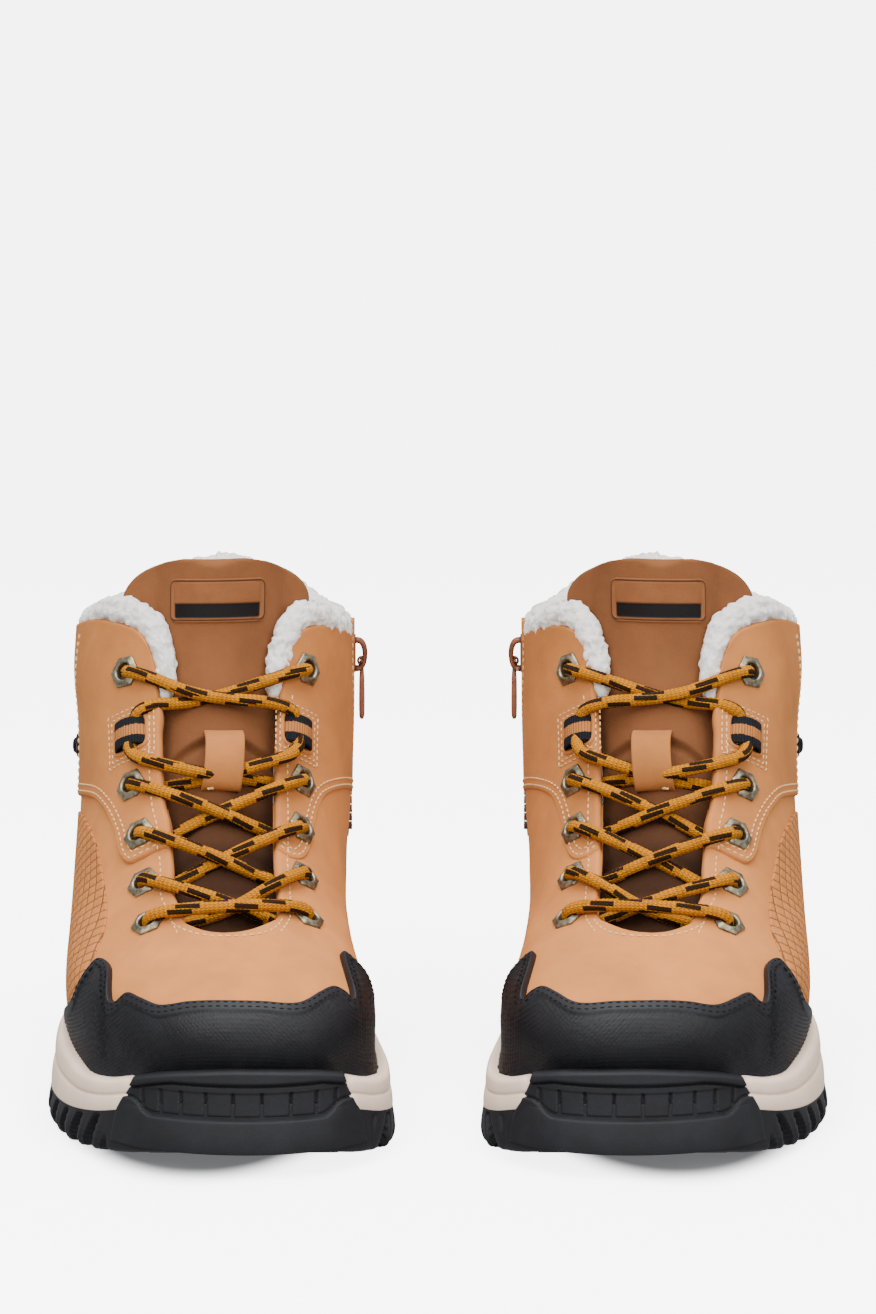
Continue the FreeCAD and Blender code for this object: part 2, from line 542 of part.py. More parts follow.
def make_boot():
    skin, leather_in = last_solid(0.0), last_solid(-LEATHER)
    guard_block, lining_in = last_solid(GUARD), last_solid(-LINING_DEPTH)
    block = sole_block()
    print("blocks made")

    upper = skin.cut(leather_in).common(between_lines(FLOOR_LINE, COLLAR_LINE))
    upper = biggest(upper.cut(throat_prism()))
    outer_half = box((-120, -200, -20), (0, 200, 260))
    vamp_cut = side_prism(VAMP_OUTLINE)
    back_cut = side_prism(BACKSTAY_OUTLINE)
    holes = eyelet_holes(EYELET_BARREL_R) + loop_windows()
    zip_slot = box((ZIP_WALL_X - 2.4, ZIP_Y - 5, ZIP_BOTTOM), (ZIP_WALL_X + 8, ZIP_Y + 5, ZIP_TOP + 20))
    vamp = upper.common(vamp_cut).cut(holes)
    backstay = upper.common(back_cut)
    quarters = upper.cut([vamp_cut, back_cut]).cut(holes)
    quarter_lateral = biggest(quarters.common(outer_half))
    quarter_medial = biggest(quarters.cut(outer_half).cut(zip_slot))
    vamp = biggest(vamp)
    print("upper made")

    shell = guard_block.cut(skin)
    toe_guard = biggest(shell.common(side_prism(GUARD_OUTLINE)).cut(under_line(FLOOR_LINE)))
    overlay_shell = last_solid(OVERLAY).cut(skin)
    flap_cuts = [throat_prism(extra=1.0)] + eyelet_holes(EYELET_CLEAR_R) + loop_windows(clear=2.0)
    ankle_overlay = biggest(overlay_shell.common(side_prism(FLAP_OUTLINE, x_high=-5)).cut(flap_cuts))
    lateral_panel = overlay_shell.common(side_prism(PANEL_OUTLINE, x_high=-5))
    lateral_panel = biggest(lateral_panel.cut([ankle_overlay, toe_guard]))
    print("overlays made")

    midsole = block.common(between_lines(PARTING_LINE, RIM_LINE))
    outsole = make_outsole(block, guard_block)
    midsole = midsole.cut([outsole, skin.cut(under_line(FLOOR_LINE)), toe_guard, lateral_panel])
    midsole = biggest(midsole)
    shank_band = between_lines(FLOOR_LINE, FLOOR_LINE, low_lift=-SHANK_THICK)
    shank = biggest(shank_band.common(box(SHANK_LOW, SHANK_HIGH)))
    midsole = biggest(midsole.cut(shank))
    board = biggest(leather_in.common(between_lines(FLOOR_LINE, FLOOR_LINE, high_lift=BOARD)))
    footbed_band = between_lines(FLOOR_LINE, FLOOR_LINE, low_lift=BOARD, high_lift=BOARD + FOOTBED)
    footbed = biggest(lining_in.common(footbed_band))
    print("sole made")

    puff_shell = leather_in.cut(last_solid(-LEATHER - STIFFENER))
    under_board = under_line(FLOOR_LINE, lift=BOARD)
    toe_puff = biggest(puff_shell.common(side_prism(PUFF_OUTLINE)).cut(under_board))
    heel_counter = biggest(puff_shell.common(side_prism(COUNTER_OUTLINE)).cut(under_board))
    lining = leather_in.cut(lining_in).common(between_lines(FLOOR_LINE, COLLAR_LINE, low_lift=BOARD))
    wide_throat = front_prism(LINING_THROAT, -200, 12)
    lining = lining.cut([throat_prism(), wide_throat, toe_puff, heel_counter] + eyelet_holes(4.0, 0, 14.0)[:2])
    lining = biggest(lining)
    roll = last_solid(-0.6).cut(last_solid(-LINING_DEPTH))
    collar_roll = biggest(roll.common(between_lines(COLLAR_LINE, COLLAR_LINE, high_lift=ROLL_RISE)).cut(throat_prism()))
    print("lining made")

    tongue = tongue_sheet(TONGUE_OUTER, TONGUE_SPLIT)
    tongue_padding = tongue_sheet(TONGUE_SPLIT, TONGUE_INNER)
    tongue_patch = sheet_solid(lambda r, c, h: front_spot(PATCH_LEFT + PATCH_WIDTH * c, PATCH_BOTTOM + PATCH_RISE * r, h),
                               5, 9, 0.9 - TONGUE_OUTER, -TONGUE_OUTER)
    print("tongue made")

    angle, level = find_front(throat_middle(127), 127)
    keeper_pts = [Vector(-7, 13, -9.6), Vector(-7, 10.5, -2.5), Vector(-7, 6, 0.9), Vector(-7, 0, 1.6),
                  Vector(-7, -6, 0.9), Vector(-7, -10.5, -2.5), Vector(-7, -13, -9.6)]
    keeper_in = [Vector(-7, -11.6, -9.6), Vector(-7, -9.2, -2.9), Vector(-7, -5.4, -0.3), Vector(-7, 0, 0.4),
                 Vector(-7, 5.4, -0.3), Vector(-7, 9.2, -2.9), Vector(-7, 11.6, -9.6)]
    wire = Part.Wire([curve_through(keeper_pts), Part.makeLine(keeper_pts[-1], keeper_in[0]),
                      curve_through(keeper_in), Part.makeLine(keeper_in[-1], keeper_pts[0])])
    lace_keeper = placed(Part.Face(wire).extrude(Vector(14, 0, 0)), local_frame(angle, level))
    lace_keeper = biggest(lace_keeper.cut(tongue))

    stud = Part.makeCylinder(4.5, 1.6).fuse(Part.makeCylinder(3.2, 2.4)).removeSplitter()
    ankle_stud = biggest(placed(stud, local_frame(*STUD_AT, OVERLAY - 0.2)).cut([skin, ankle_overlay]))

    lace, aglets = make_lace()
    tape, teeth, slider, pull = make_zip()
    return {
        "outsole": outsole, "midsole": midsole, "shank": shank, "insole_board": board, "footbed": footbed,
        "vamp": vamp, "quarter_lateral": quarter_lateral, "quarter_medial": quarter_medial,
        "backstay": biggest(backstay), "toe_guard": toe_guard, "toe_puff": toe_puff,
        "heel_counter": heel_counter, "ankle_overlay": ankle_overlay, "lateral_panel": lateral_panel,
        "lining": lining, "collar_roll": collar_roll, "tongue": tongue, "tongue_padding": tongue_padding,
        "tongue_patch": tongue_patch, "lace_keeper": lace_keeper, "eyelets": make_eyelets(),
        "lace_loops": make_loops(), "lace": lace, "aglets": aglets, "zip_tape": tape, "zip_teeth": teeth,
        "zip_slider": slider, "zip_pull": pull, "ankle_stud": ankle_stud,
    }


def main():
    os.makedirs("parts", exist_ok=True)
    for name, shape in make_boot().items():
        right = shape.copy()
        right.translate(Vector(-BOOT_OFFSET, 0, 0))
        left = right.mirror(Vector(0, 0, 0), Vector(1, 0, 0))
        right.exportStep("parts/right_" + name + ".step")
        left.exportStep("parts/left_" + name + ".step")
        bb = right.optimalBoundingBox()
        print(name, "valid", shape.isValid(), "solids", len(shape.Solids), "cm3", round(shape.Volume / 1000, 2),
              "x", round(bb.XMin, 1), round(bb.XMax, 1), "z", round(bb.ZMin, 1), round(bb.ZMax, 1), "y", round(bb.YMin), round(bb.YMax))


main()
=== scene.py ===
import math

import bmesh
import bpy
import numpy as np
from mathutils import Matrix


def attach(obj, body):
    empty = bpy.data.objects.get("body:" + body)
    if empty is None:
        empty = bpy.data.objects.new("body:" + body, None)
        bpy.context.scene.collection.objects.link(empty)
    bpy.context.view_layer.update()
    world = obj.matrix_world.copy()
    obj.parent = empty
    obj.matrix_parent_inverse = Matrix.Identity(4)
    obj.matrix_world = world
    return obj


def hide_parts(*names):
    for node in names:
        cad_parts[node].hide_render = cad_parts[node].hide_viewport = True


bl_info = {
    "name": "Insulated Lace-up Boots",
    "version": (1, 0, 0),
    "blender": (4, 5, 0),
    "location": "3D View > Sidebar > Boots",
    "description": "Builds a pair of fleece-lined boots round their packed frame",
    "category": "Add Mesh",
}

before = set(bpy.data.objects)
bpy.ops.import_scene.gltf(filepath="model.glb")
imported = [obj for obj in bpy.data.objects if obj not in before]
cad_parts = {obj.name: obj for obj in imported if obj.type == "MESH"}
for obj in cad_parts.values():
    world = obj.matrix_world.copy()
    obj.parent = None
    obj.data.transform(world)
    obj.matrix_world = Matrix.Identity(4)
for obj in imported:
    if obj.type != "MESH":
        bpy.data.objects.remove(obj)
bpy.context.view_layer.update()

# Sizes are in millimetres on the right boot, whose own +X points at its inner side, and become metres in the mesh.
BOOT_OFFSET = 84.0
TAU = 2 * math.pi
SIDES = ("right", "left")

# The last, as sloping sections from the sole up to past the collar. Each has its front z and y, its back z and y,
# and its half width on the outer and the inner side at six stations, toe to heel.
STATIONS = np.array((0.0, 0.125, 0.25, 0.5, 0.75, 1.0))
SECTIONS = (
    (35, -144, 36, 144, (84, 72, 63, 45, 47, 68), (84, 72, 59, 42, 43, 66)),
    (46, -147, 48, 147, (84, 73, 64, 48, 48, 70), (82, 71, 60, 44, 44, 68)),
    (56, -142, 59, 148, (78, 71, 63, 49, 48, 70), (76, 68, 58, 46, 44, 66)),
    (64, -127, 70, 147, (69, 65, 60, 50, 48, 66), (68, 62, 55, 49, 44, 62)),
    (72, -105, 80, 145, (62, 60, 57, 51, 49, 62), (60, 56, 52, 51, 45, 58)),
    (82, -85, 90, 143, (57, 56, 55, 52, 49, 57), (56, 54, 51, 51, 46, 54)),
    (95, -67, 101, 141, (54, 54, 54, 53, 49, 54), (53, 52, 50, 51, 47, 51)),
    (112, -49, 114, 139, (53, 54, 54, 54, 49, 51), (51, 51, 50, 50.5, 47, 48)),
    (132, -32, 132, 137, (54, 56, 56, 55, 50, 50), (52, 51, 50, 50, 47, 48)),
    (151, -19, 151, 136, (56, 58, 58, 57, 51, 50), (52, 51, 50, 50, 48, 48)),
    (171, -10, 171, 136, (55, 56, 56, 56, 51, 50), (52, 52, 51, 50, 48, 48)),
    (191, -5, 191, 137, (52, 53, 53, 53, 51, 49), (51, 51, 51, 50, 48, 48)),
    (211, -2, 211, 138, (51, 52, 52, 52, 51, 49), (50, 50, 50, 50, 48, 48)),
)
LAST_SECTION = len(SECTIONS) - 1
SECTION_ENDS = np.array([s[:4] for s in SECTIONS], dtype=float)
OUTER_HALF = np.array([s[4] for s in SECTIONS], dtype=float)
INNER_HALF = np.array([s[5] for s in SECTIONS], dtype=float)
FOOT_CENTRE = np.array((18, 12, 6, -2, -5, -8), dtype=float)
SHAFT_CENTRE = np.array((-3, -2, 0, 0, -2, -4), dtype=float)
SOLE_OUTER = np.array((98, 83, 72.5, 52, 56, 78), dtype=float)
SOLE_INNER = np.array((98, 84, 68, 48, 50, 78), dtype=float)
SOLE_FRONT, SOLE_LENGTH = -154.0, 306.0
SOLE_PROFILE = np.array(((-6, -3.0), (0, -2.5), (6, 0.0), (18, -1.5), (28, -3.0), (38, -4.5), (52, -5.5)))
TREAD_LINE = np.array(((-170, 13), (-154, 9), (-136, 4.6), (-116, 1.4), (-98, 0), (132, 0), (152, 3.0), (170, 6)))
PARTING_LINE = np.array(((-170, 26), (-150, 25), (-138, 21.2), (-122, 16.8), (-100, 14.2), (-70, 14.5), (0, 16),
                         (60, 19.5), (110, 22), (170, 26)))
FLOOR_LINE = np.array(((-170, 34), (-150, 31), (-110, 25), (-70, 24), (0, 27), (60, 31), (110, 32), (170, 34)))
RIM_LINE = np.array(((-170, 37.5), (-150, 36.5), (-136, 31), (-126, 28.2), (-112, 27.5), (-95, 30.5), (-70, 35), (0, 40),
                     (60, 45), (110, 46), (170, 48)))

ROWS = ((156, -33, 34), (134, -30.5, 31), (117, -29, 33), (101.5, -25, 33), (87, -23, 35), (76, -20, 37))
LOOP_ROW = 1
THROAT = ((230, -24, 28), (172, -24, 28), (160, -19, 23), (133, -16.7, 22.4), (96, -11.3, 25), (80, -7, 27))
LACE_D = 4.5
# How far down to the next row two strands cross, and how far to the outer side of the throat's middle.
CROSSING = ((0.30, 7), (0.60, 5), (0.27, 4), (0.24, 4), (0.26, 0))
OVER, BELOW = 4.0, -6.4
QUARTER_LIFT = 1.3          # the quarters lie on the vamp
GUARD_LIFT = 2.0
LINING_DEPTH = 9.0
ZIP_ANGLE, ZIP_LEVEL = -1.62, 7.0       # a place on the last beside the zip
STEP = 1e-3                 # of angle or level, to find slopes
TONGUE_OUTER, TONGUE_INNER = 9.6, 15.6
ZIP_Y, ZIP_WALL_X, ZIP_BOTTOM, ZIP_TOP, SLIDER_Z = 57.0, 50.0, 84.0, 168.0, 156.0


# ---- curves

def smooth(xs, ys, x):
    """Cubic through the points (xs, ys), whose slope at each point is that of the line through its neighbours,
    held flat past both ends. ys may hold several columns."""
    xs, ys, x = np.asarray(xs, float), np.asarray(ys, float), np.asarray(x, float)
    x = np.clip(x, xs[0], xs[-1])
    i = np.clip(np.searchsorted(xs, x, side="right") - 1, 0, len(xs) - 2)
    low, high = np.maximum(np.arange(len(xs)) - 1, 0), np.minimum(np.arange(len(xs)) + 1, len(xs) - 1)
    span = xs[high] - xs[low]
    h = xs[i + 1] - xs[i]
    s = (x - xs[i]) / h
    if ys.ndim > 1:
        span, h, s = span[:, None], h[..., None], s[..., None]
    slope = (ys[high] - ys[low]) / span
    rise = (2 * s ** 3 - 3 * s ** 2 + 1) * ys[i] + (3 * s ** 2 - 2 * s ** 3) * ys[i + 1]
    return rise + h * ((s ** 3 - 2 * s ** 2 + s) * slope[i] + (s ** 3 - s ** 2) * slope[i + 1])


def line_at(line, y):
    return smooth(line[:, 0], line[:, 1], y)


def ease(x, low, high):
    """0 below low, 1 above high, and a smooth S between them."""
    s = np.clip((np.asarray(x, float) - low) / (high - low), 0, 1)
    return s * s * (3 - 2 * s)


def bump(x, middle, width):
    """A bell, 1 at the middle, that falls to a third a width away."""
    return np.exp(-((np.asarray(x, float) - middle) / width) ** 2)


def section_point(i, angle):
    """Point on section i: y and z run in a line from its front to its back as (1 - cos angle) / 2, and x is the
    middle line minus the half width times sin angle."""
    i, angle = np.broadcast_arrays(i, angle)
    ends = SECTION_ENDS[i]
    t = (1 - np.cos(angle)) / 2
    side = np.sin(angle)
    y = ends[..., 1] + (ends[..., 3] - ends[..., 1]) * t
    z = ends[..., 0] + (ends[..., 2] - ends[..., 0]) * t
    shaft = ease(i, 3, 8)
    foot = smooth(STATIONS, FOOT_CENTRE, np.clip((y + 150) / 298.0, 0, 1))
    middle = (1 - shaft) * foot + shaft * smooth(STATIONS, SHAFT_CENTRE, t)
    weights = smooth(STATIONS, np.eye(len(STATIONS)), t)
    half = np.where(side >= 0, (weights * OUTER_HALF[i]).sum(-1), (weights * INNER_HALF[i]).sum(-1))
    return np.stack((middle - side * half, y, z), axis=-1)


def last_point(angle, level):
    """Point on the boot's outer face: the sections joined upwards by a cubic through four of them."""
    angle, level = np.broadcast_arrays(np.asarray(angle, float), np.asarray(level, float))
    i = np.clip(np.floor(level), 0, LAST_SECTION - 1).astype(int)
    s = (level - i)[..., None]
    p1, p2 = section_point(i, angle), section_point(i + 1, angle)
    p0 = np.where((i > 0)[..., None], section_point(np.maximum(i - 1, 0), angle), 2 * p1 - p2)
    p3 = np.where((i + 2 <= LAST_SECTION)[..., None], section_point(np.minimum(i + 2, LAST_SECTION), angle),
                  2 * p2 - p1)
    return 0.5 * (2 * p1 + (p2 - p0) * s + (2 * p0 - 5 * p1 + 4 * p2 - p3) * s ** 2
                  + (3 * p1 - p0 - 3 * p2 + p3) * s ** 3)


def unit(v):
    return v / np.maximum(np.linalg.norm(v, axis=-1, keepdims=True), 1e-12)


def last_normal(angle, level):
    step = 1e-3
    along = last_point(angle + step, level) - last_point(angle - step, level)
    up = last_point(angle, level + step) - last_point(angle, level - step)
    return unit(np.cross(up, along))


def on_last(angle, level, height=0.0):
    """Point at a height above the leather's outer face, along the face's normal."""
    angle, level = np.broadcast_arrays(np.asarray(angle, float), np.asarray(level, float))
    return last_point(angle, level) + last_normal(angle, level) * np.asarray(height, float)[..., None]


def slopes(angle, level):
    """The last's point, and how fast it moves with the angle and with the level."""
    p = last_point(angle, level)
    return p, (last_point(angle + STEP, level) - p) / STEP, (last_point(angle, level + STEP) - p) / STEP


def meet(axis, across, z, angle, level, most, steps):
    """Angle and level of the last's point with this z and this coordinate on an axis, by Newton's steps from a
    first guess, each no longer than most."""
    for _ in range(steps):
        p, pa, pl = slopes(angle, level)
        det = pa[..., axis] * pl[..., 2] - pa[..., 2] * pl[..., axis]
        da, dz = across - p[..., axis], z - p[..., 2]
        angle = angle + np.clip((da * pl[..., 2] - dz * pl[..., axis]) / det, -most[0], most[0])
        level = level + np.clip((pa[..., axis] * dz - pa[..., 2] * da) / det, -most[1], most[1])
        level = np.clip(level, 0, LAST_SECTION)
    return angle, level


def find_front(x, z):
    """Angle and level of the front's point with this x and z."""
    x, z = np.broadcast_arrays(np.asarray(x, float), np.asarray(z, float))
    return meet(0, x, z, np.where(x > 5, -0.7, 0.5), 1.0 + z / 20.0, (0.2, 0.6), 40)


def front(x, z, height=0.0):
    return on_last(*find_front(x, z), height)


def throat_middle(z):
    zs = np.array([t[0] for t in THROAT[::-1]], float)
    return smooth(zs, np.array([(t[1] + t[2]) / 2 for t in THROAT[::-1]]), z)


def noise3(p, size, seed=0):
    """Smooth value noise from -1 to 1: a hashed lattice of random values, blended between its corners."""
    q = np.asarray(p, float) / size
    cell = np.floor(q).astype(np.int64)
    f = q - cell
    f = f * f * (3 - 2 * f)
    total = np.zeros(q.shape[:-1])
    for corner in range(8):
        d = np.array([(corner >> k) & 1 for k in range(3)])
        c = cell + d
        h = (c[..., 0] * 73856093) ^ (c[..., 1] * 19349663) ^ (c[..., 2] * 83492791) ^ (seed * 2654435761)
        h = (h ^ (h >> 13)) * 1274126177
        value = ((h ^ (h >> 16)) & 0xFFFF) / 32767.5 - 1
        weight = np.prod(np.where(d == 1, f, 1 - f), axis=-1)
        total += value * weight
    return total


# ---- meshes

def grid_faces(rows, columns, wrap_rows=False, wrap_columns=False):
    """Quads between the points of a grid, as an array of four point numbers each."""
    r = np.arange(rows if wrap_rows else rows - 1)
    c = np.arange(columns if wrap_columns else columns - 1)
    r, c = np.meshgrid(r, c, indexing="ij")
    r2, c2 = (r + 1) % rows, (c + 1) % columns
    return np.stack((r * columns + c, r * columns + c2, r2 * columns + c2, r2 * columns + c), -1).reshape(-1, 4)


def join(parts):
    """Several (points, faces, uv) as one."""
    points, faces, uvs, count = [], [], [], 0
    for p, f, uv in parts:
        points.append(p.reshape(-1, 3))
        faces.append(f + count)
        uvs.append(uv.reshape(-1, 2))
        count += len(points[-1])
    return np.concatenate(points), np.concatenate(faces), np.concatenate(uvs)


def make_mesh(name, points, faces, uv, finish, merge=2e-5):
    """Mesh object from points in metres and quads; doubles are merged and the faces turned outwards."""
    mesh = bpy.data.meshes.new(name)
    mesh.vertices.add(len(points))
    mesh.vertices.foreach_set("co", points.astype(np.float32).ravel())
    mesh.loops.add(faces.size)
    mesh.loops.foreach_set("vertex_index", faces.astype(np.int32).ravel())
    mesh.polygons.add(len(faces))
    mesh.polygons.foreach_set("loop_start", np.arange(0, faces.size, 4, dtype=np.int32))
    mesh.update(calc_edges=True)
    layer = mesh.uv_layers.new(name="UVMap")
    layer.data.foreach_set("uv", uv[faces.ravel()].astype(np.float32).ravel())
    mesh.validate()
    work = bmesh.new()
    work.from_mesh(mesh)
    bmesh.ops.remove_doubles(work, verts=work.verts, dist=merge)
    bmesh.ops.dissolve_degenerate(work, dist=1e-7, edges=work.edges)
    bmesh.ops.recalc_face_normals(work, faces=work.faces)
    work.to_mesh(mesh)
    work.free()
    mesh.polygons.foreach_set("use_smooth", np.ones(len(mesh.polygons), dtype=bool))
    mesh.materials.append(finish)
    piece = bpy.data.objects.new(name, mesh)
    bpy.context.scene.collection.objects.link(piece)
    return piece


def to_row(points, side):
    """Points of the right boot in millimetres, as points of either boot in the row's frame in metres."""
    x = points[..., 0] - BOOT_OFFSET
    return np.stack((x if side == "right" else -x, points[..., 1], points[..., 2]), -1) * 0.001


def both(name, part, finish, nodes=(), body="boot"):
    """One piece on each boot, riding on its body and standing for its CAD nodes."""
    points, faces, uv = part
    made = []
    for side in SIDES:
        piece = make_mesh(side + "_" + name, to_row(points.reshape(-1, 3), side), faces, uv.reshape(-1, 2) * 0.001,
                          finish)
        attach(piece, side + "_" + body)
        if nodes:
            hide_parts(*[side + "_" + n for n in nodes])
        made.append(piece)
    return made


def packed(count, edge, length):
    """Shares from 0 to 1, close together within an edge's radius of both ends."""
    e = min(0.3, edge / max(length, 1e-6))
    near = e * np.array((0.0, 0.08, 0.3, 0.6, 1.0))
    return np.concatenate((near, np.linspace(e, 1 - e, count)[1:-1], 1 - near[::-1]))


def dome(distance, radius):
    """Quarter-round edge: 0 at the edge and 1 once the distance reaches the radius."""
    d = np.clip(distance / radius, 0, 1)
    return np.sqrt(np.maximum(0.0, 1 - (1 - d) ** 2))


def closed_pair(upper, lower, uv):
    """Solid between two grids of points of the same shape, with walls round the rim where they stand apart."""
    rows, columns = upper.shape[:2]
    count = rows * columns
    index = np.arange(count).reshape(rows, columns)
    rim = np.concatenate((index[0, :-1], index[:-1, -1], index[-1, :0:-1], index[:0:-1, 0]))
    walls = np.stack((rim, np.roll(rim, -1), np.roll(rim, -1) + count, rim + count), -1)
    faces = grid_faces(rows, columns)
    return (np.concatenate((upper.reshape(-1, 3), lower.reshape(-1, 3))),
            np.concatenate((faces, faces[:, ::-1] + count, walls)), np.concatenate((uv.reshape(-1, 2),) * 2))


def slab(angle, level, top, bottom, radius=1.2, relief=None, ends=(True, True, True, True)):
    """Closed solid over a grid of angles and levels. Its upper face stands at top and rounds down to bottom at the
    edges named in ends (first row, last row, first column, last column); its lower face lies at bottom."""
    base = last_point(angle, level)
    normal = last_normal(angle, level)
    down = np.cumsum(np.linalg.norm(np.diff(base, axis=0, prepend=base[:1]), axis=-1), axis=0)
    across = np.cumsum(np.linalg.norm(np.diff(base, axis=1, prepend=base[:, :1]), axis=-1), axis=1)
    # An end is True where the edge is round, False where it isn't, or a length to add to the distance from it.
    extra = [np.where(end is True, 0.0, 1e3) if isinstance(end, bool) else end for end in ends]
    distances = (down + extra[0], down[-1:] - down + extra[1], across + extra[2], across[:, -1:] - across + extra[3])
    shape = np.ones(angle.shape)
    for d in distances:
        shape = shape * dome(d, radius)
    height = bottom + (top - bottom) * shape
    if relief is not None:
        height = height + relief(base, down, across, distances) * shape
    return closed_pair(base + normal * height[..., None], base + normal * bottom, np.stack((across, down), -1))


def coons(left, right, low, high, rows, columns, radius=1.2, length=80.0, width=60.0):
    """Grid of (angle, level) filled in from four edge curves, each a list of (angle, level) points."""
    s, t = packed(rows, radius, length), packed(columns, radius, width)

    def along(points, share):
        points = np.asarray(points, float)
        run = np.concatenate(([0], np.cumsum(np.hypot(np.diff(points[:, 0]) * 50, np.diff(points[:, 1]) * 14))))
        return smooth(run / run[-1], points, share)

    a, b, c, d = along(left, s), along(right, s), along(low, t), along(high, t)
    s, t = s[:, None, None], t[None, :, None]
    grid = ((1 - t) * a[:, None] + t * b[:, None] + (1 - s) * c[None] + s * d[None]
            - ((1 - s) * (1 - t) * a[0] + (1 - s) * t * b[0] + s * (1 - t) * a[-1] + s * t * b[-1]))
    return grid[..., 0], grid[..., 1]


def path_frame(points, up_hint):
    """Tangent, side and up at each point of a path, where up is the hint made square to the tangent."""
    tangent = unit(np.gradient(points, axis=0))
    up = unit(up_hint - tangent * (up_hint * tangent).sum(-1, keepdims=True))
    return tangent, np.cross(tangent, up), up


def tube(points, up_hint, outline, closed=False, caps=True):
    """Outline (n, 2) of side and up offsets carried along a path; outline may also be one per path point."""
    _, side, up = path_frame(points, up_hint)
    outline = np.broadcast_to(outline, (len(points),) + outline.shape[-2:])
    ring = points[:, None] + side[:, None] * outline[..., :1] + up[:, None] * outline[..., 1:]
    if caps and not closed:
        ring = np.concatenate((np.broadcast_to(points[0], (1,) + ring.shape[1:]), ring,
                               np.broadcast_to(points[-1], (1,) + ring.shape[1:])))
    run = np.concatenate(([0], np.cumsum(np.linalg.norm(np.diff(points, axis=0), axis=-1))))
    if caps and not closed:
        run = np.concatenate(([run[0]], run, [run[-1]]))
    around = np.linspace(0, 1, ring.shape[1]) * 10.0
    uv = np.stack(np.broadcast_arrays(run[:, None], around[None, :]), -1)
    return ring.reshape(-1, 3), grid_faces(ring.shape[0], ring.shape[1], closed, True), uv.reshape(-1, 2)


def circle(radius_side, radius_up, count=16):
    a = np.arange(count) / count * TAU
    return np.stack((radius_side * np.cos(a), radius_up * np.sin(a)), -1)


def turned(centre, around, up, out, profile, count=32, shape=None):
    """Profile (radius, height) turned about the out axis; shape may change the radius with the angle."""
    a = np.arange(count) / count * TAU
    profile = np.asarray(profile, float)
    radius = profile[:, :1] * np.ones((1, count))
    if shape is not None:
        radius = shape(radius, a[None, :], np.arange(len(profile))[:, None])
    points = (centre + around * (radius * np.cos(a))[..., None] + up * (radius * np.sin(a))[..., None]
              + out * profile[:, 1][:, None, None])
    uv = np.stack(np.broadcast_arrays(a[None, :] * 5.0, np.arange(len(profile))[:, None] * 1.0), -1)
    return points.reshape(-1, 3), grid_faces(len(profile), count, False, True), uv.reshape(-1, 2)


def spot_frame(angle, level, height=0.0):
    """Centre, around, up and out at a place on the boot's face."""
    out = last_normal(angle, level)
    up = unit(last_point(angle, level + 0.01) - last_point(angle, level - 0.01))
    around = unit(np.cross(up, out))
    return last_point(angle, level) + out * height, around, np.cross(out, around), out


def stitches(path_angle, path_level, height, scale=1.0):
    """A row of stitches along a path on the boot's face."""
    return stitch_row(on_last(path_angle, path_level, height), last_normal(path_angle, path_level), scale)


def stitch_row(centre, normal, scale=1.0):
    """Stitches along a path: each is a spindle laid along it, its ends sunk in."""
    pitch, length, radius = (v * scale * 1000 for v in (sizes().stitch_pitch, sizes().stitch_length,
                                                        sizes().stitch_radius))
    run = np.concatenate(([0], np.cumsum(np.linalg.norm(np.diff(centre, axis=0), axis=-1))))
    places = np.arange(pitch / 2, run[-1], pitch)
    c = np.stack([np.interp(places, run, centre[:, k]) for k in range(3)], -1)
    ahead = np.stack([np.interp(places + 0.4, run, centre[:, k]) for k in range(3)], -1)
    behind = np.stack([np.interp(places - 0.4, run, centre[:, k]) for k in range(3)], -1)
    n = unit(np.stack([np.interp(places, run, normal[:, k]) for k in range(3)], -1))
    tangent = unit(ahead - behind)
    side = np.cross(tangent, n)
    a = np.linspace(-1, 1, 7)
    b = np.arange(6) / 6 * TAU
    thick = radius * np.sqrt(np.maximum(0, 1 - a ** 4))
    local = np.stack(np.broadcast_arrays((a * length / 2)[:, None], thick[:, None] * np.cos(b), (
        thick[:, None] * np.sin(b) - (0.5 * radius * a ** 2)[:, None])), -1).reshape(-1, 3)
    points = (c[:, None] + tangent[:, None] * local[None, :, :1] + side[:, None] * local[None, :, 1:2]
              + n[:, None] * local[None, :, 2:])
    one = grid_faces(7, 6, False, True)
    faces = (one[None] + (np.arange(len(c)) * 42)[:, None, None]).reshape(-1, 4)
    uv = np.broadcast_to(local[None, :, :2], points.shape[:2] + (2,))
    return points.reshape(-1, 3), faces, uv.reshape(-1, 2)


# ---- finishes

def colour(red, green, blue):
    """Screen values from 0 to 255 as a linear colour."""
    c = np.array((red, green, blue)) / 255.0
    return tuple(np.where(c <= 0.04045, c / 12.92, ((c + 0.055) / 1.055) ** 2.4)) + (1.0,)


def times(tone, factor):
    """A colour made darker or lighter."""
    return tuple(min(1.0, c * factor) for c in tone[:3]) + (1.0,)


def tint(label, red, green, blue):
    """A colour that a user may change."""
    return bpy.props.FloatVectorProperty(name=label, description="Colour of the " + label.lower(), subtype="COLOR",
                                         size=4, min=0.0, max=1.0, default=colour(red, green, blue))


def length(label, about, default, low, high):
    """A size in metres that a user may change."""
    return bpy.props.FloatProperty(name=label, description=about, default=default, min=low, max=high, precision=5,
                                   subtype="DISTANCE", unit="LENGTH")


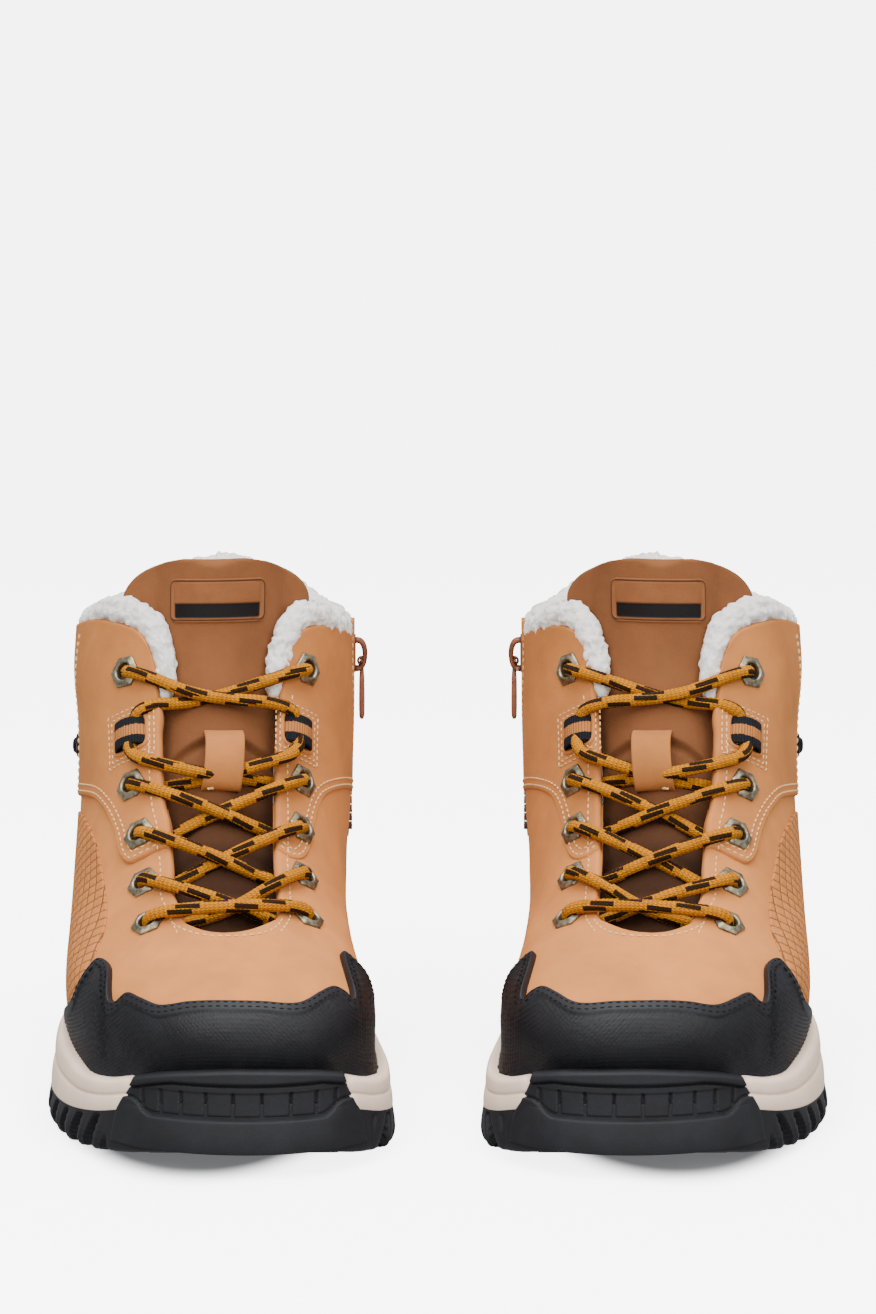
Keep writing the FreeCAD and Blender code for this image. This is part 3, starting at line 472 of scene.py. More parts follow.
class BOOTS_PG_sizes(bpy.types.PropertyGroup):
    """Sizes of the boots' details"""
    lace_diameter: length("Lace diameter", "Thickness of the round lace", LACE_D / 1000, 0.003, 0.006)
    stitch_pitch: length("Stitch pitch", "From one stitch to the next", 0.0029, 0.002, 0.006)
    stitch_length: length("Stitch length", "Length of one stitch", 0.0021, 0.001, 0.005)
    stitch_radius: length("Thread radius", "Half the thread's thickness", 0.00031, 0.0001, 0.001)
    net_width: length("Net width", "Width of the side panel's diamonds", 0.007, 0.003, 0.02)
    net_height: length("Net height", "Height of the side panel's diamonds", 0.005, 0.003, 0.02)
    guard_pitch: length("Guard pitch", "Width of the toe guard's small pyramids", 0.0016, 0.001, 0.005)
    pile_depth: length("Pile depth", "How far the collar's curls stand out", 0.0026, 0.0005, 0.004)


class BOOTS_PG_colours(bpy.types.PropertyGroup):
    """Colours of the boots' materials"""
    leather: tint("Leather", 178, 112, 58)
    # Toe leather: the upper's leather made a little lighter, as painted light for the vamp's face turned up to the
    # light from above.
    toe: tint("Toe leather", 188, 119, 62)
    # Tongue leather: darker than the upper's, partly its own tone and partly painted shade for the tongue lying back in
    # the throat.
    tongue: tint("Tongue leather", 116, 71, 40)
    rubber: tint("Rubber", 17, 17, 21)
    foam: tint("Foam", 222, 198, 178)
    fleece: tint("Fleece", 252, 248, 240)
    thread: tint("Thread", 232, 190, 138)
    lace: tint("Lace", 196, 124, 12)
    fleck: tint("Lace fleck", 5, 4, 5)
    webbing: tint("Webbing", 14, 16, 23)
    eyelet: tint("Eyelet metal", 156, 146, 122)
    zip: tint("Zip metal", 128, 74, 48)


def sizes():
    return bpy.context.scene.boots_sizes


def shade(name, factor=1.0):
    """One of the colours, darker or lighter by a factor."""
    return times(getattr(bpy.context.scene.boots_colours, name), factor)


class Value:
    """A number in a finish's nodes, on which arithmetic adds Math nodes."""

    def __init__(self, finish, socket):
        self.finish, self.socket = finish, socket

    def math(self, operation, *terms):
        node = self.finish.node("ShaderNodeMath", {"operation": operation}, dict(enumerate(terms)))
        return Value(self.finish, node.outputs[0])

    def __add__(self, other):
        return self.math("ADD", self, other)

    def __radd__(self, other):
        return self.math("ADD", other, self)

    def __sub__(self, other):
        return self.math("SUBTRACT", self, other)

    def __rsub__(self, other):
        return self.math("SUBTRACT", other, self)

    def __mul__(self, other):
        return self.math("MULTIPLY", self, other)

    def __rmul__(self, other):
        return self.math("MULTIPLY", other, self)

    def __truediv__(self, other):
        return self.math("DIVIDE", self, other)

    def __lt__(self, other):
        return self.math("LESS_THAN", self, other)

    def __gt__(self, other):
        return self.math("GREATER_THAN", self, other)

    def part(self):
        """What is left after the whole number, from 0 to 1."""
        return self.math("FRACT", self)

    def whole(self):
        return self.math("FLOOR", self)

    def size(self):
        return self.math("ABSOLUTE", self)

    def sine(self):
        return self.math("SINE", self)

    def least(self, other):
        return self.math("MINIMUM", self, other)

    def most(self, other):
        return self.math("MAXIMUM", self, other)

    def between(self, low, high):
        """0 at low, 1 at high, smooth between them and level outside."""
        node = self.finish.node("ShaderNodeMapRange", {"interpolation_type": "SMOOTHSTEP"},
                                {0: self, 1: low, 2: high, 3: 0.0, 4: 1.0})
        return Value(self.finish, node.outputs[0])


class Finish:
    """One procedural material, kept by name so that like pieces share it."""

    def __init__(self, name):
        self.material = bpy.data.materials.new(name)
        self.material.use_nodes = True
        self.tree = self.material.node_tree
        self.tree.nodes.clear()

    def node(self, kind, settings=None, sockets=None):
        """Adds a node: first its settings, then the values or links of its sockets, by name or number."""
        made = self.tree.nodes.new(kind)
        for name, value in (settings or {}).items():
            setattr(made, name, value)
        for name, value in (sockets or {}).items():
            value = value.socket if isinstance(value, Value) else value
            if isinstance(value, bpy.types.NodeSocket):
                self.tree.links.new(value, made.inputs[name])
            else:
                made.inputs[name].default_value = value
        return made

    def place(self, kind="Object"):
        return self.node("ShaderNodeTexCoord").outputs[kind]

    def uv(self):
        """The piece's own UV map, in metres, as two values."""
        split = self.node("ShaderNodeSeparateXYZ", None, {0: self.place("UV")})
        return Value(self, split.outputs[0]), Value(self, split.outputs[1])

    def noise(self, size, detail=2.0, roughness=0.5, place=None, stretch=None):
        """Noise from 0 to 1, whose lumps are about the given size in metres."""
        place = place or self.place()
        if stretch:
            place = self.node("ShaderNodeMapping", None, {"Vector": place, "Scale": stretch}).outputs[0]
        node = self.node("ShaderNodeTexNoise", None, {"Vector": place, "Scale": 1.0 / size, "Detail": detail,
                                                      "Roughness": roughness})
        return Value(self, node.outputs[0])

    def cells(self, size, place=None, feature="F1"):
        node = self.node("ShaderNodeTexVoronoi", {"feature": feature}, {"Vector": place or self.place(),
                                                                      "Scale": 1.0 / size})
        return Value(self, node.outputs["Distance"])

    def mix(self, factor, first, second, blend="MIX"):
        """Colour between two, by a factor."""
        node = self.node("ShaderNodeMix", {"data_type": "RGBA", "blend_type": blend},
                         {0: factor, 6: first, 7: second})
        return node.outputs[2]

    def bump(self, height, depth, normal=None, strength=1.0):
        """Normal of a surface that rises by depth metres as height goes from 0 to 1."""
        sockets = {"Height": height, "Distance": depth, "Strength": strength}
        if normal is not None:
            sockets["Normal"] = normal
        return self.node("ShaderNodeBump", None, sockets).outputs[0]

    def done(self, **sockets):
        """Joins the surface shader up; underscores in names stand for spaces."""
        shader = self.node("ShaderNodeBsdfPrincipled", None, {k.replace("_", " "): v for k, v in sockets.items()})
        self.node("ShaderNodeOutputMaterial", None, {0: shader.outputs[0]})
        return self.material


def nubuck(name, middle, painted_shade_heights=None):
    """Buffed leather: cloudy colour, a fine nap, faint creases and a soft sheen. Given two heights, painted shade
    darkens it from the second height down to the first."""
    dark, light = times(middle, 0.86), times(middle, 1.13)
    f = Finish(name)
    cloud = f.noise(0.028, 3.0, 0.6)
    patch = f.noise(0.0075, 3.0, 0.6)
    nap = f.noise(0.00045, 2.0, 0.7)
    fleck = f.noise(0.0011, 3.0, 0.7)
    shade = f.mix(cloud.between(0.3, 0.72), dark, light)
    shade = f.mix(patch.between(0.35, 0.7) * 0.45, shade, middle)
    shade = f.mix(fleck.between(0.52, 0.72) * 0.22, shade, dark)
    shade = f.mix(nap.between(0.5, 0.8) * 0.16, shade, light)
    if painted_shade_heights:
        # Painted shade: below the upper height the leather darkens almost to black, standing in for the shade low in
        # the throat.
        height = Value(f, f.node("ShaderNodeSeparateXYZ", None, {0: f.place()}).outputs[2])
        low = (1.0 - height.between(*painted_shade_heights)) * 0.88
        shade = f.mix(low, shade, times(middle, 0.07))
    crease = f.noise(0.006, 4.0, 0.62)
    normal = f.bump(crease, 0.00035, strength=0.5)
    normal = f.bump(nap + fleck * 0.8, 0.00012, normal, 0.8)
    return f.done(Base_Color=shade, Roughness=0.82 + patch * 0.14, Normal=normal, Sheen_Weight=0.12,
                  Sheen_Roughness=0.5, Sheen_Tint=light, Specular_IOR_Level=0.2)


def embossed(name, middle, groove):
    """Leather pressed with a net of diamonds, dark in the grooves."""
    dark, light = times(middle, 0.8), times(middle, 1.15)
    f = Finish(name)
    u, v = f.uv()
    first, second = diamonds(u, v, sizes().net_width, sizes().net_height)
    line = 1.0 - first.least(second).between(0.02, 0.09)
    cloud, nap = f.noise(0.02, 3.0, 0.6), f.noise(0.0005, 2.0, 0.7)
    shade = f.mix(cloud.between(0.3, 0.7), middle, light)
    shade = f.mix(nap.between(0.45, 0.8) * 0.2, shade, dark)
    shade = f.mix(line * 0.9, shade, groove)
    normal = f.bump(1.0 - line, 0.0003, strength=0.6)
    normal = f.bump(nap, 0.00012, normal, 0.7)
    return f.done(Base_Color=shade, Roughness=0.7 + nap * 0.2, Normal=normal, Sheen_Weight=0.2,
                  Sheen_Roughness=0.5, Sheen_Tint=light, Specular_IOR_Level=0.22)


def diamonds(u, v, width, height):
    """Distance from the two families of slanted lines of a diamond net, as shares of their pitch."""
    first = ((u / width + v / height).part() - 0.5).size()
    second = ((u / width - v / height).part() - 0.5).size()
    return 0.5 - first, 0.5 - second


def rubber(name, base, gloss):
    """Moulded rubber: a fine grain and a faint cloudy bloom."""
    f = Finish(name)
    light = times(base, 2.2)
    fine, dust = f.noise(0.0006, 2.0, 0.6), f.noise(0.012, 4.0, 0.65)
    shade = f.mix(dust.between(0.35, 0.75) * 0.5, base, light)
    shade = f.mix(fine.between(0.5, 0.8) * 0.25, shade, light)
    normal = f.bump(fine, 0.00008, strength=0.6)
    return f.done(Base_Color=shade, Roughness=gloss + dust * 0.2, Normal=normal, Specular_IOR_Level=0.26)


def foam(name, base):
    """Moulded foam: a closed fine skin with slight clouds."""
    f = Finish(name)
    light, dark = times(base, 1.12), times(base, 0.75)
    fine, cloud = f.noise(0.0005, 2.0, 0.6), f.noise(0.02, 4.0, 0.6)
    shade = f.mix(cloud.between(0.3, 0.7), base, light)
    shade = f.mix(fine.between(0.55, 0.8) * 0.2, shade, dark)
    return f.done(Base_Color=shade, Roughness=0.6 + cloud * 0.2, Normal=f.bump(fine, 0.00006, strength=0.6),
                  Specular_IOR_Level=0.35)


def fleece(name, base, shadow):
    """Curly pile: lumps of curls with bright tips and shaded roots."""
    f = Finish(name)
    warp = f.noise(0.003, 2.0, 0.6)
    lumps, curls = f.cells(0.0032), f.noise(0.0011, 4.0, 0.75)
    fibre = f.noise(0.0004, 3.0, 0.8)
    deep = lumps.between(0.25, 0.85) * 0.55 + (1.0 - curls.between(0.3, 0.62)) * 0.5
    shade = f.mix(deep * 0.55, base, shadow)
    shade = f.mix(fibre.between(0.5, 0.8) * 0.3, shade, colour(255, 255, 252))
    normal = f.bump(curls + warp * 0.5 - lumps * 0.6, 0.0011, strength=0.8)
    normal = f.bump(fibre, 0.0004, normal, 0.8)
    return f.done(Base_Color=shade, Roughness=0.94, Normal=normal, Sheen_Weight=0.4, Sheen_Roughness=0.6,
                  Subsurface_Weight=0.12, Subsurface_Scale=0.003, Subsurface_Radius=(1.0, 0.9, 0.8),
                  Specular_IOR_Level=0.2)


def thread(name, base, dark):
    """Twisted thread: slanted plies along its own length."""
    f = Finish(name)
    twist = f.noise(0.0005, 3.0, 0.7)
    shade = f.mix(twist.between(0.4, 0.65) * 0.6, base, dark)
    return f.done(Base_Color=shade, Roughness=0.75 + twist * 0.15, Normal=f.bump(twist, 0.0001, strength=0.7),
                  Specular_IOR_Level=0.2)


def braid(name, base, dark, fleck):
    """Braided cord: two sets of slanted yarns, with pairs of dark yarns that surface in short runs."""
    f = Finish(name)
    run, around = f.uv()
    ring = around * 100.0                                  # once round is 1
    lane = ring * 14.0
    stitch_at = run / 0.0016
    zigzag = (lane.part() - 0.5).size()
    chevron = (stitch_at + zigzag * 1.3).part()
    ridge = 1.0 - (chevron - 0.5).size() * 2.0
    valley = 1.0 - zigzag * 1.4
    height = ridge.between(0.0, 0.6) * valley
    turn = ring + run / 0.19
    side = (turn * 3.0).whole()
    within = (turn * 3.0).part()
    shifted = run / 0.0205 + side * 0.37
    first = ((shifted.part() - 0.25).size() < 0.21) * ((within - 0.27).size() < 0.2)
    second = (((shifted - 0.14).part() - 0.25).size() < 0.21) * ((within - 0.73).size() < 0.2)
    black = (first + second) * (ridge.between(0.0, 0.1) * 0.4 + 0.6)
    wear = f.noise(0.004, 3.0, 0.6)
    shade = f.mix(wear.between(0.3, 0.75), base, dark)
    # Painted shade: the braid's low places between its ridges take a darker colour.
    shade = f.mix((1.0 - height.between(0.05, 0.45)) * 0.55, shade, colour(96, 50, 6))
    shade = f.mix(black.least(1.0) * 0.97, shade, fleck)
    fibre = f.noise(0.00035, 2.0, 0.7)
    normal = f.bump(height, 0.00042, strength=0.9)
    normal = f.bump(fibre, 0.0001, normal, 0.5)
    return f.done(Base_Color=shade, Roughness=0.72 + fibre * 0.2, Normal=normal, Specular_IOR_Level=0.14)


def woven_band(name, dark, stripe, half_width):
    """Ribbed webbing with one plain stripe along its middle."""
    f = Finish(name)
    run, across = f.uv()
    rib = (run / 0.0011).part()
    weft = (across / 0.0009 + (run / 0.0011).whole() * 0.5).part()
    height = (rib * 3.14159).sine() * (0.6 + (weft * 3.14159).sine() * 0.4)
    fray = f.noise(0.0006, 2.0, 0.7)
    middle = ((across - 0.0) + (fray - 0.5) * 0.0012).size() < half_width
    shade = f.mix(middle, dark, stripe)
    # Painted shade: the hollows between the ribs are darkened almost to black.
    shade = f.mix((1.0 - height) * 0.45, shade, colour(5, 6, 8))
    shade = f.mix(fray.between(0.5, 0.75) * 0.08, shade, colour(90, 84, 76))
    return f.done(Base_Color=shade, Roughness=0.7 + fray * 0.2, Normal=f.bump(height, 0.0003), Specular_IOR_Level=0.16)


def metal(name, base, dark, rough=0.34, metallic=1.0):
    """Metal with a dulled, slightly scratched face."""
    f = Finish(name)
    tarnish, fine = f.noise(0.0022, 4.0, 0.65), f.noise(0.0004, 2.0, 0.6)
    scratch = f.noise(0.0009, 3.0, 0.7, stretch=(1.0, 1.0, 0.12))
    shade = f.mix(tarnish.between(0.35, 0.65), base, dark)
    shade = f.mix(scratch.between(0.58, 0.66) * 0.25, shade, colour(235, 225, 205))
    return f.done(Base_Color=shade, Roughness=rough + tarnish * 0.22, Metallic=metallic,
                  Normal=f.bump(fine + scratch, 0.00004, strength=0.6))


def moulded(name, base, dark, rough):
    """Moulded plastic: slightly cloudy, with a fine skin."""
    f = Finish(name)
    fine, cloud = f.noise(0.0005, 2.0, 0.6), f.noise(0.006, 3.0, 0.6)
    shade = f.mix(cloud.between(0.3, 0.7), base, dark)
    return f.done(Base_Color=shade, Roughness=rough + cloud * 0.15, Normal=f.bump(fine, 0.00005, strength=0.6))


def woven(name, base, dark, pitch=0.0006):
    """Plain weave on object coordinates."""
    f = Finish(name)
    split = f.node("ShaderNodeSeparateXYZ", None, {0: f.place()})
    y, z = Value(f, split.outputs[1]), Value(f, split.outputs[2])
    over = ((y / pitch).part() * 3.14159).sine() * ((z / pitch + (y / pitch).whole() * 0.5).part() * 3.14159).sine()
    cloud = f.noise(0.008, 3.0, 0.6)
    # Painted shade: the low places of the weave, between the threads, take the darker colour.
    shade = f.mix(over.between(0.1, 0.8), dark, base)
    shade = f.mix(cloud.between(0.35, 0.75) * 0.3, shade, dark)
    return f.done(Base_Color=shade, Roughness=0.8 + cloud * 0.1, Normal=f.bump(over, 0.0001))


def patch_leather(name, base, bar):
    """Smooth plain patch with a sunk outline and one dark bar, with no lettering."""
    f = Finish(name)
    light = times(base, 1.15)
    u, v = f.uv()
    in_bar = (1.0 - (u.size() - 0.0185).between(-0.0004, 0.0004)) * (
        1.0 - ((v + 0.0037).size() - 0.0026).between(-0.0004, 0.0004))
    nap, cloud = f.noise(0.0005, 2.0, 0.7), f.noise(0.008, 3.0, 0.6)
    shade = f.mix(cloud.between(0.3, 0.7), base, light)
    shade = f.mix(nap.between(0.5, 0.8) * 0.2, shade, bar)
    shade = f.mix(in_bar * 0.99, shade, bar)
    u_out, v_out = (u.size() - 0.0185).most(0.0), (v.size() - 0.005).most(0.0)
    square = u_out * u_out + v_out * v_out
    reach = square.math("SQRT", square)
    outline = 1.0 - ((reach - 0.00205).size()).between(0.0001, 0.00045)
    shade = f.mix(outline * 0.75, shade, bar)
    return f.done(Base_Color=shade, Roughness=0.72 + nap * 0.15 - in_bar * 0.2,
                  Normal=f.bump(nap, 0.0001, strength=0.6), Specular_IOR_Level=0.16)


MAKERS = {
    "upper": lambda: nubuck("tan_nubuck", shade("leather")),
    # The vamp's leather is painted lighter than the quarters': painted light from above.
    "toe": lambda: nubuck("toe_nubuck", shade("toe")),
    # The keeper's strap is the upper's leather painted darker: painted shade in the throat.
    "strap": lambda: nubuck("strap_nubuck", shade("leather", 0.8)),
    # The tongue's leather carries painted shade that deepens from 150 mm down to 86 mm above the floor.
    "tongue": lambda: nubuck("tongue_nubuck", shade("tongue"), (0.086, 0.150)),
    "net": lambda: embossed("embossed_nubuck", shade("leather", 0.94), shade("leather", 0.25)),
    "guard": lambda: rubber("guard_rubber", shade("rubber"), 0.42),
    "sole": lambda: rubber("sole_rubber", shade("rubber", 1.2), 0.5),
    "foam": lambda: foam("midsole_foam", shade("foam")),
    "fleece": lambda: fleece("fleece", shade("fleece"), shade("fleece", 0.62)),
    "thread": lambda: thread("cream_thread", shade("thread"), shade("thread", 0.6)),
    "black_thread": lambda: thread("black_thread", colour(8, 8, 10), colour(18, 18, 20)),
    "lace": lambda: braid("lace_braid", shade("lace"), shade("lace", 0.78), shade("fleck")),
    "band": lambda: woven_band("webbing", shade("webbing"), shade("leather"), 0.0021),
    "eyelet": lambda: metal("antique_metal", shade("eyelet"), shade("eyelet", 0.4)),
    "dark_metal": lambda: metal("dark_metal", colour(40, 41, 46), colour(18, 19, 22), 0.3),
    "steel": lambda: metal("steel", colour(160, 162, 166), colour(120, 122, 128), 0.3),
    "zip_metal": lambda: metal("painted_metal", shade("zip"), shade("zip", 0.6), 0.35, 0.55),
    "pull": lambda: moulded("pull_cover", shade("zip", 1.2), shade("zip", 0.85), 0.5),
    "zip_cloth": lambda: woven("zip_tape", shade("zip", 0.6), shade("zip", 0.3)),
    "zip_plastic": lambda: moulded("zip_teeth", shade("zip", 0.45), shade("zip", 0.3), 0.35),
    "board": lambda: woven("fibre_board", colour(196, 178, 150), colour(160, 142, 116), 0.0012),
    "stiffener": lambda: woven("stiffener", colour(206, 200, 190), colour(170, 164, 152), 0.0010),
    "patch": lambda: patch_leather("patch_leather", shade("tongue", 1.05), shade("fleck")),
    "tip": lambda: moulded("clear_tip", shade("lace"), shade("lace", 0.7), 0.2),
}
FINISHES = {}


def finish(name):
    """The finish of that name, made when it is first asked for."""
    if name not in FINISHES:
        FINISHES[name] = MAKERS[name]()
    return FINISHES[name]


# ---- upper

def lists(*pairs):
    return np.array(pairs, float)


# Edges on the boot's face, as (angle, level). Angle is 0 at the front, grows towards the outer side and is pi at
# the heel; level counts the last's sections.
FLAP_SEAM = lists((.235, 6.2), (.30, 6.18), (.47, 5.88), (.57, 5.72), (.63, 5.86), (.68, 6.31), (.79, 6.67),
                  (.99, 6.78), (1.43, 6.43), (1.75, 5.9), (1.95, 4.6), (2.1, 2.6), (2.25, -.4))
INNER_SEAM = lists((-.51, 6.1), (-.60, 5.85), (-.70, 5.72), (-.78, 5.84), (-.84, 6.3), (-.98, 6.83), (-1.4, 6.6),
                   (-1.75, 5.9), (-1.95, 4.6), (-2.1, 2.6), (-2.25, -.4))
OUTER_THROAT = lists((.19, 4.35), (.23, 5.05), (.25, 5.33), (.235, 5.85), (.235, 6.2), (.235, 6.68), (.265, 7.0),
                     (.285, 7.45), (.295, 7.86), (.30, 8.2), (.29, 8.5), (.32, 8.9), (.34, 9.3), (.38, 9.62))
INNER_THROAT = lists((-.30, 4.35), (-.41, 4.7), (-.46, 5.2), (-.51, 6.1), (-.54, 6.8), (-.54, 7.3), (-.54, 7.9),
                     (-.55, 8.4), (-.57, 8.9), (-.59, 9.4), (-.62, 9.7))
OUTER_COLLAR = lists((.38, 9.62), (.43, 9.88), (.51, 10.06), (.63, 10.13), (.78, 10.16), (1.04, 10.11), (1.5, 9.85),
                     (2.1, 9.88), (2.65, 10.25), (math.pi, 10.5))
INNER_COLLAR = lists((-.62, 9.7), (-.66, 9.9), (-.75, 10.03), (-.88, 10.05), (-1.17, 9.88), (-1.38, 9.72),
                     (-1.6, 9.68), (-2.1, 9.85), (-2.65, 10.25), (-math.pi, 10.5))
GUARD_TOP = lists((-1.35, -.9), (-1.15, .3), (-.98, 1.3), (-.86, 2.2), (-.76, 2.9), (-.71, 3.09), (-.65, 2.59),
                  (-.61, 1.95), (-.58, 1.85), (-.55, 2.11), (-.49, 2.35), (-.40, 2.30), (-.26, 2.09), (-.08, 2.21),
                  (.1, 2.23), (.23, 2.15), (.36, 1.96), (.46, 2.07), (.53, 2.12), (.58, 1.80), (.62, 1.80),
                  (.64, 2.15), (.67, 2.72), (.72, 2.88), (.77, 2.75), (.81, 2.32), (.90, 1.35), (1.05, .6),
                  (1.30, -.9))
PANEL_FRONT = lists((.95, .2), (.88, 1.4), (.83, 2.58), (.75, 4.1), (.79, 5.0), (.87, 5.72))
PANEL_TOP = lists((.87, 5.72), (.93, 5.95), (1.03, 6.15), (1.2, 6.25), (1.45, 6.05), (1.62, 5.55))
PANEL_BACK = lists((1.95, .2), (1.9, 2.0), (1.8, 4.0), (1.72, 5.0), (1.62, 5.55))
PANEL_FOOT = lists((.95, .2), (1.3, .2), (1.65, .2), (1.95, .2))
OUTER_SIDE = lists((1.24, 9.75), (1.28, 9.0), (1.33, 8.0), (1.37, 7.2), (1.39, 6.7))
INNER_LIFT = 0.6


def edge_at(line, level):
    """Angle of an edge at a level."""
    return smooth(line[:, 1], line[:, 0], level)


def eyelets_at():
    """(angle, level, height of the leather there) of the ten eyelets, and of the two webbing loops."""
    spots, loops = [], []
    for i, (z, x_outer, x_inner) in enumerate(ROWS):
        for inner, x in enumerate((x_outer, x_inner)):
            angle, level = (float(v) for v in find_front(x, z))
            lift = 0.0 if i > 3 else INNER_LIFT if inner else QUARTER_LIFT
            (loops if i == LOOP_ROW else spots).append((angle, level, lift))
    return spots, loops


EYELETS, LOOPS = eyelets_at()
HOLE_RADIUS = 4.3
WINDOW = (7.4, 5.9)


def cut_holes(part, inside):
    """Takes the quads whose middle is inside out of a slab, from both its faces, and walls the holes in."""
    points, faces, uv = part
    half = len(points) // 2
    upper = np.all(faces < half, axis=1)
    lower = np.all(faces >= half, axis=1)
    gone = inside(points[:half][faces[upper]].mean(axis=1))
    top, low = faces[upper], faces[lower]
    low = low[~gone] if len(low) == len(gone) else low
    taken = top[gone]
    sides = np.concatenate([np.stack((taken[:, k], taken[:, (k + 1) % 4]), -1) for k in range(4)])
    keys = np.sort(sides, axis=1) @ np.array((1, len(points)))
    _, first, counts = np.unique(keys, return_index=True, return_counts=True)
    rim = sides[first[counts == 1]]
    walls = np.stack((rim[:, 0], rim[:, 1], rim[:, 1] + half, rim[:, 0] + half), -1)
    return points, np.concatenate((top[~gone], low, faces[~upper & ~lower], walls)), uv


def near_lace(points):
    """True where a hole for an eyelet or a webbing loop's window is."""
    inside = np.zeros(len(points), bool)
    for angle, level, _ in EYELETS:
        centre, around, up, out = spot_frame(angle, level)
        d = points - centre
        inside |= (np.hypot(d @ around, d @ up) < HOLE_RADIUS) & (np.abs(d @ out) < 6)
    for angle, level, _ in LOOPS:
        centre, around, up, out = spot_frame(angle, level)
        d = points - centre
        inside |= (np.abs(d @ around) < WINDOW[0]) & (np.abs(d @ up) < WINDOW[1]) & (np.abs(d @ out) < 6)
    return inside


def creases(base, down, across, distances):
    """Faint hollows and swellings of worn leather."""
    return 0.22 * noise3(base, 17.0, 3) + 0.07 * noise3(base, 5.0, 4)


def half_vamp(sign):
    """Rows up the foot, and columns from the middle or the throat's edge round to the waist."""
    throat = OUTER_THROAT if sign > 0 else INNER_THROAT
    levels = np.concatenate((np.linspace(-0.9, 4.3, 58), np.linspace(4.3, 4.56, 18)[1:],
                             np.linspace(4.56, 7.0, 44)[1:]))
    open_to = np.abs(edge_at(throat, np.maximum(levels, 4.4)))
    opening = np.sqrt(np.clip((levels - 4.32) / 0.22, 0, 1))        # the round foot of the throat
    first = open_to * opening
    columns = packed(80, 1.2, 150.0)
    angle = sign * (first[:, None] + (2.38 - first[:, None]) * columns[None] ** 1.15)
    level = np.broadcast_to(levels[:, None], angle.shape)
    closed = np.where(opening > 0, 0.0, 1e3)
    part = slab(angle, level, 0.0, -2.6, 1.1, creases, (False, True, closed[:, None], True))
    on_seam = np.abs(np.concatenate((angle.ravel(),) * 2)) < 1e-9
    points, faces, uv = part
    faces = faces[~on_seam[faces].all(axis=1)]
    return cut_holes((points, faces, uv * (sign, 1)), near_lace)


def quarter(sign):
    """One side of the shaft, filled in between its throat edge, collar, heel line and seam."""
    seam, throat, collar = ((FLAP_SEAM, OUTER_THROAT, OUTER_COLLAR) if sign > 0
                            else (INNER_SEAM, INNER_THROAT, INNER_COLLAR))
    start = np.flatnonzero(throat[:, 1] >= seam[0, 1] - 0.01)[0]
    left = np.concatenate((seam[:1], throat[start + 1:]))
    heel = lists((sign * math.pi, -.4), (sign * math.pi, 5.0), (sign * math.pi, 10.5))
    low = np.concatenate((seam, lists((sign * 2.7, -.4), (sign * math.pi, -.4))))
    angle, level = coons(left, heel, low, collar, 86, 126, 1.4, 90, 150)
    lift = QUARTER_LIFT if sign > 0 else INNER_LIFT

    def worn(base, down, across, distances):
        roll = 0.35 * np.exp(-np.minimum(distances[0], distances[1]) / 1.6)
        return creases(base, down, across, distances) * ease(down, 1, 8) + roll

    part = slab(angle, level, lift, -1.6, 1.4, worn, (True, True, True, False))
    part = cut_holes(part, near_lace)
    if sign < 0:
        part = cut_holes(part, in_zip)
    return part


def in_zip(points):
    return (np.abs(points[:, 1] - ZIP_Y) < 3.6) & (points[:, 2] > ZIP_BOTTOM) & (points[:, 0] > 0)


def along_edge(line, count=200):
    """Even points along an edge on the boot's face."""
    fine = smooth(np.arange(len(line)), line, np.linspace(0, len(line) - 1, 1200))
    run = np.concatenate(([0], np.cumsum(np.linalg.norm(np.diff(last_point(fine[:, 0], fine[:, 1]), axis=0), axis=-1))))
    even = np.linspace(0, run[-1], count)
    return np.stack((np.interp(even, run, fine[:, 0]), np.interp(even, run, fine[:, 1])), -1)


def beside(line, inset, count=300):
    """The edge's points moved sideways over the face by an inset in millimetres, to the left of its direction."""
    path = along_edge(line, count)
    p = last_point(path[:, 0], path[:, 1])
    n = last_normal(path[:, 0], path[:, 1])
    side = np.cross(unit(np.gradient(p, axis=0)), n)
    step = 1e-3
    pa = (last_point(path[:, 0] + step, path[:, 1]) - p) / step
    pl = (last_point(path[:, 0], path[:, 1] + step) - p) / step
    aa, al, ll = (pa * pa).sum(-1), (pa * pl).sum(-1), (pl * pl).sum(-1)
    target = side * inset
    ta, tl = (pa * target).sum(-1), (pl * target).sum(-1)
    det = aa * ll - al * al
    moved = path + np.stack(((ta * ll - tl * al) / det, (tl * aa - ta * al) / det), -1)
    kernel = np.ones(5) / 5
    inner = np.stack([np.convolve(moved[:, k], kernel, mode="valid") for k in (0, 1)], -1)
    return np.concatenate((moved[:1], inner, moved[-1:]))


def sewn(line, insets, height, scale=1.0):
    """Rows of stitches beside an edge, one for each inset."""
    rows = []
    for inset in insets:
        path = beside(line, inset)
        rows.append(stitches(path[:, 0], path[:, 1], height, scale))
    return rows


